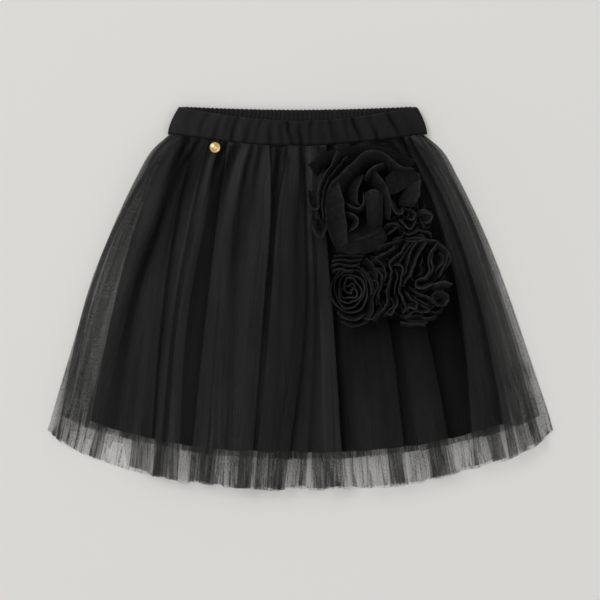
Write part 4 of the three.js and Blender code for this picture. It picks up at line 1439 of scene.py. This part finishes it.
class SKIRT_OT_stage(bpy.types.Operator):
    """Add the pale floor, the soft lights and the camera straight above"""

    bl_idname = "skirt.stage"
    bl_label = "Stage"

    def execute(self, context):
        scene = context.scene
        scene.view_settings.view_transform = "Standard"
        scene.cycles.transparent_max_bounces = 64
        world = bpy.data.worlds.new("soft_room")
        world.use_nodes = True
        world.node_tree.nodes["Background"].inputs["Color"].default_value = (1, 1, 1, 1)
        world.node_tree.nodes["Background"].inputs["Strength"].default_value = WORLD_LIGHT
        scene.world = world

        corners = np.array([[(-1, 1, 0), (1, 1, 0)], [(-1, -1, 0), (1, -1, 0)]], float)
        mesh = grid_mesh("floor", corners * FLOOR_HALF)
        paper = Finish("floor_paper", scene.skirt_colours.floor, roughness=0.95, specular=0.1)
        floor = bpy.data.objects.new("floor", mesh)
        mesh.materials.append(paper.material)
        scene.collection.objects.link(floor)
        floor.location.z = -FLOOR_DROP

        for lamp in LAMPS:
            self.add_lamp(scene, lamp)

        lens = bpy.data.cameras.new("camera")
        lens.lens = LENS
        lens.sensor_width = SENSOR
        lens.sensor_fit = "HORIZONTAL"
        camera = bpy.data.objects.new("camera", lens)
        scene.collection.objects.link(camera)
        width = FRAME_PIXELS * PIXEL
        camera.location = (*VIEW_CENTRE, width * LENS / SENSOR + PILE_MIDDLE)
        scene.camera = camera
        return {"FINISHED"}

    @staticmethod
    def add_lamp(scene, lamp):
        data = bpy.data.lights.new(lamp.name, "AREA")
        data.shape = "DISK"
        data.size = lamp.size
        data.energy = lamp.power
        obj = bpy.data.objects.new(lamp.name, data)
        obj.location = lamp.place
        scene.collection.objects.link(obj)
        x, y, z = np.array(lamp.place) / np.linalg.norm(lamp.place)
        obj.rotation_euler = (math.acos(z), 0, math.atan2(y, x) + math.pi / 2)


def add_panel(layer, lines, hem_share, material):
    grid = panel_grid(layer, lines, hem_share)
    lining = layer.kind == "lining"
    name = layer.name if lining else f"tulle_{layer.name}"
    keys = ("closeness", "shade", "cloth")
    mesh = grid_mesh(f"{name}_cloth", grid["points"], {key: grid[key] for key in keys})
    obj = place(mesh, material)
    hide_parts(name)
    return obj


PANEL_LINES = np.concatenate((
    np.linspace(0, 0.1, 12),
    np.linspace(0.1, 0.4, 16)[1:],
    np.linspace(0.4, 1, 24)[1:],
))
LINING_SHARE = 0.93


class SKIRT_OT_lining(bpy.types.Operator):
    """Add the opaque lining, front and back"""

    bl_idname = "skirt.lining"
    bl_label = "Lining"

    def execute(self, context):
        colour = context.scene.skirt_colours.lining
        finish = woven_finish("lining_cloth", colour, 0.85, 0.03, 0.0006, 0.0002, shaded=True)
        for layer in LAYERS[2:4]:
            add_panel(layer, PANEL_LINES * LINING_SHARE, LINING_SHARE, finish.material)
        return {"FINISHED"}


class SKIRT_OT_tulle(bpy.types.Operator):
    """Add the four gathered panels of sheer tulle"""

    bl_idname = "skirt.tulle"
    bl_label = "Tulle panels"

    def execute(self, context):
        sizes = context.scene.skirt_sizes
        colour = context.scene.skirt_colours.tulle
        tulle = tulle_finish("tulle_net", colour, sizes.tulle_opacity, sizes.net_cell)
        for layer in LAYERS:
            if layer.kind != "lining":
                add_panel(layer, PANEL_LINES, 1.0, tulle)
        return {"FINISHED"}


class SKIRT_OT_waistband(bpy.types.Operator):
    """Add the gathered elastic waistband, front and back"""

    bl_idname = "skirt.waistband"
    bl_label = "Waistband"

    def execute(self, context):
        knit = knit_finish(context.scene.skirt_colours.band)
        front = place(band_shell("waistband_front_knit", front_band_surface, 620), knit)
        back = place(band_shell("waistband_back_knit", back_band_surface, 900), knit)
        for obj, node in ((front, "waistband_front"), (back, "waistband_back")):
            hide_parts(node)
        return {"FINISHED"}


class SKIRT_OT_stitches(bpy.types.Operator):
    """Add the two rows of stitches along the waist seam"""

    bl_idname = "skirt.stitches"
    bl_label = "Seam stitches"

    def execute(self, context):
        sizes = context.scene.skirt_sizes
        pitch = sizes.stitch_pitch / MM
        width = BAND_SEAM[1] - BAND_SEAM[0] - 14
        count = int(width / pitch)
        parts = []
        around = np.linspace(0, 2 * np.pi, 7)
        for rise in (0.05, 0.14):
            for k in range(count):
                f = (7 + (k + 0.5) * pitch) / (width + 14)
                ends = np.array([f - 0.34 * pitch / width, f, f + 0.34 * pitch / width])
                x, y, z, _, _ = front_band_surface(rise, ends)
                radius = np.array([0.08, 0.22, 0.08])
                rows = [
                    np.column_stack((x, y + radius * math.cos(a), z + 0.12 + radius * math.sin(a)))
                    for a in around
                ]
                parts.append((np.array(rows) * MM, {}))
        thread = woven_finish("seam_thread", context.scene.skirt_colours.thread, 0.6, 0.1, 0.0004, 0.0001)
        obj = place(joined_mesh("waist_seam_stitches", parts), thread.material)
        return {"FINISHED"}


class SKIRT_OT_rosettes(bpy.types.Operator):
    """Add the cluster of ruffled rosettes"""

    bl_idname = "skirt.rosettes"
    bl_label = "Rosettes"

    def execute(self, context):
        material = rosette_finish(context.scene.skirt_colours.rosette)
        flowers = {
            "rosette_large": LARGE_PETALS,
            "rosette_small": SMALL_PETALS,
            "rosette_spiral": SPIRAL_PETALS,
            "rosette_ruffled": RUFFLED_PETALS,
        }
        for node, petals in flowers.items():
            parts = [rosette_bed(node)]
            parts += [petal_strip(petal, index) for index, petal in enumerate(petals)]
            parts += [ruffle_strip(spec) for spec in RUFFLES if spec.node == node]
            ribbons = {"rosette_ruffled": RUFFLED_RIBBONS, "rosette_small": SMALL_RIBBONS}.get(node, [])
            parts += [ribbon_strip(ribbon, index) for index, ribbon in enumerate(ribbons)]
            if node == "rosette_spiral":
                parts.append(spiral_strip())
            obj = place(joined_mesh(f"{node}_tulle", parts), material)
            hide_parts(node)
        return {"FINISHED"}


class SKIRT_OT_charm(bpy.types.Operator):
    """Add the small round charm on the waist seam"""

    bl_idname = "skirt.charm"
    bl_label = "Charm"

    def execute(self, context):
        finish = Finish("charm_gold", context.scene.skirt_colours.charm, 0.28, metallic=1.0)
        brushed = finish.noise(finish.place(), 700, 2, 0.6)
        finish.tint(context.scene.skirt_colours.charm, finish.between(brushed, 0.3, 0.7, 0.85, 1.1))
        finish.bump(brushed, 0.1, 0.0001)
        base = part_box("charm")[0][2] / MM
        profile = [
            (0.01, 0), (4.7, 0), (5.05, 0.15), (5.2, 0.5), (5.2, 0.95), (5.05, 1.3), (4.75, 1.45),
            (4.45, 1.4), (4.2, 1.15), (3.9, 1.15), (3.0, 1.5), (1.8, 1.85), (0.8, 2.0), (0.01, 2.05),
        ]
        around = np.linspace(0, 2 * np.pi, 96, endpoint=False)
        points = np.array([
            [(CHARM_PLACE[0] + r * math.cos(a), CHARM_PLACE[1] + r * math.sin(a), base + z) for a in around]
            for r, z in profile
        ])
        obj = place(grid_mesh("charm_disc", points * MM, wrap=True), finish.material)
        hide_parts("charm")
        return {"FINISHED"}


STEPS = (
    ("skirt.stage", SKIRT_OT_stage),
    ("skirt.lining", SKIRT_OT_lining),
    ("skirt.tulle", SKIRT_OT_tulle),
    ("skirt.waistband", SKIRT_OT_waistband),
    ("skirt.stitches", SKIRT_OT_stitches),
    ("skirt.rosettes", SKIRT_OT_rosettes),
    ("skirt.charm", SKIRT_OT_charm),
)


class SKIRT_PT_pieces(bpy.types.Panel):
    """Lists the skirt's pieces, sizes and colours"""

    bl_idname = "SKIRT_PT_pieces"
    bl_label = "Tulle skirt"
    bl_space_type = "VIEW_3D"
    bl_region_type = "UI"
    bl_category = "Skirt"

    def draw(self, context):
        for group in (context.scene.skirt_sizes, context.scene.skirt_colours):
            for key in type(group).__annotations__:
                self.layout.prop(group, key)
        for name, _ in STEPS:
            self.layout.operator(name)


CLASSES = (SkirtSizes, SkirtColours, *(operator for _, operator in STEPS), SKIRT_PT_pieces)


def register():
    for cls in CLASSES:
        bpy.utils.register_class(cls)
    bpy.types.Scene.skirt_sizes = PointerProperty(type=SkirtSizes)
    bpy.types.Scene.skirt_colours = PointerProperty(type=SkirtColours)


def unregister():
    del bpy.types.Scene.skirt_colours
    del bpy.types.Scene.skirt_sizes
    for cls in reversed(CLASSES):
        bpy.utils.unregister_class(cls)


def main():
    register()
    bpy.ops.skirt.stage()
    bpy.ops.skirt.lining()
    bpy.ops.skirt.tulle()
    bpy.ops.skirt.waistband()
    bpy.ops.skirt.stitches()
    bpy.ops.skirt.rosettes()
    bpy.ops.skirt.charm()


if __name__ == "__main__":
    main()
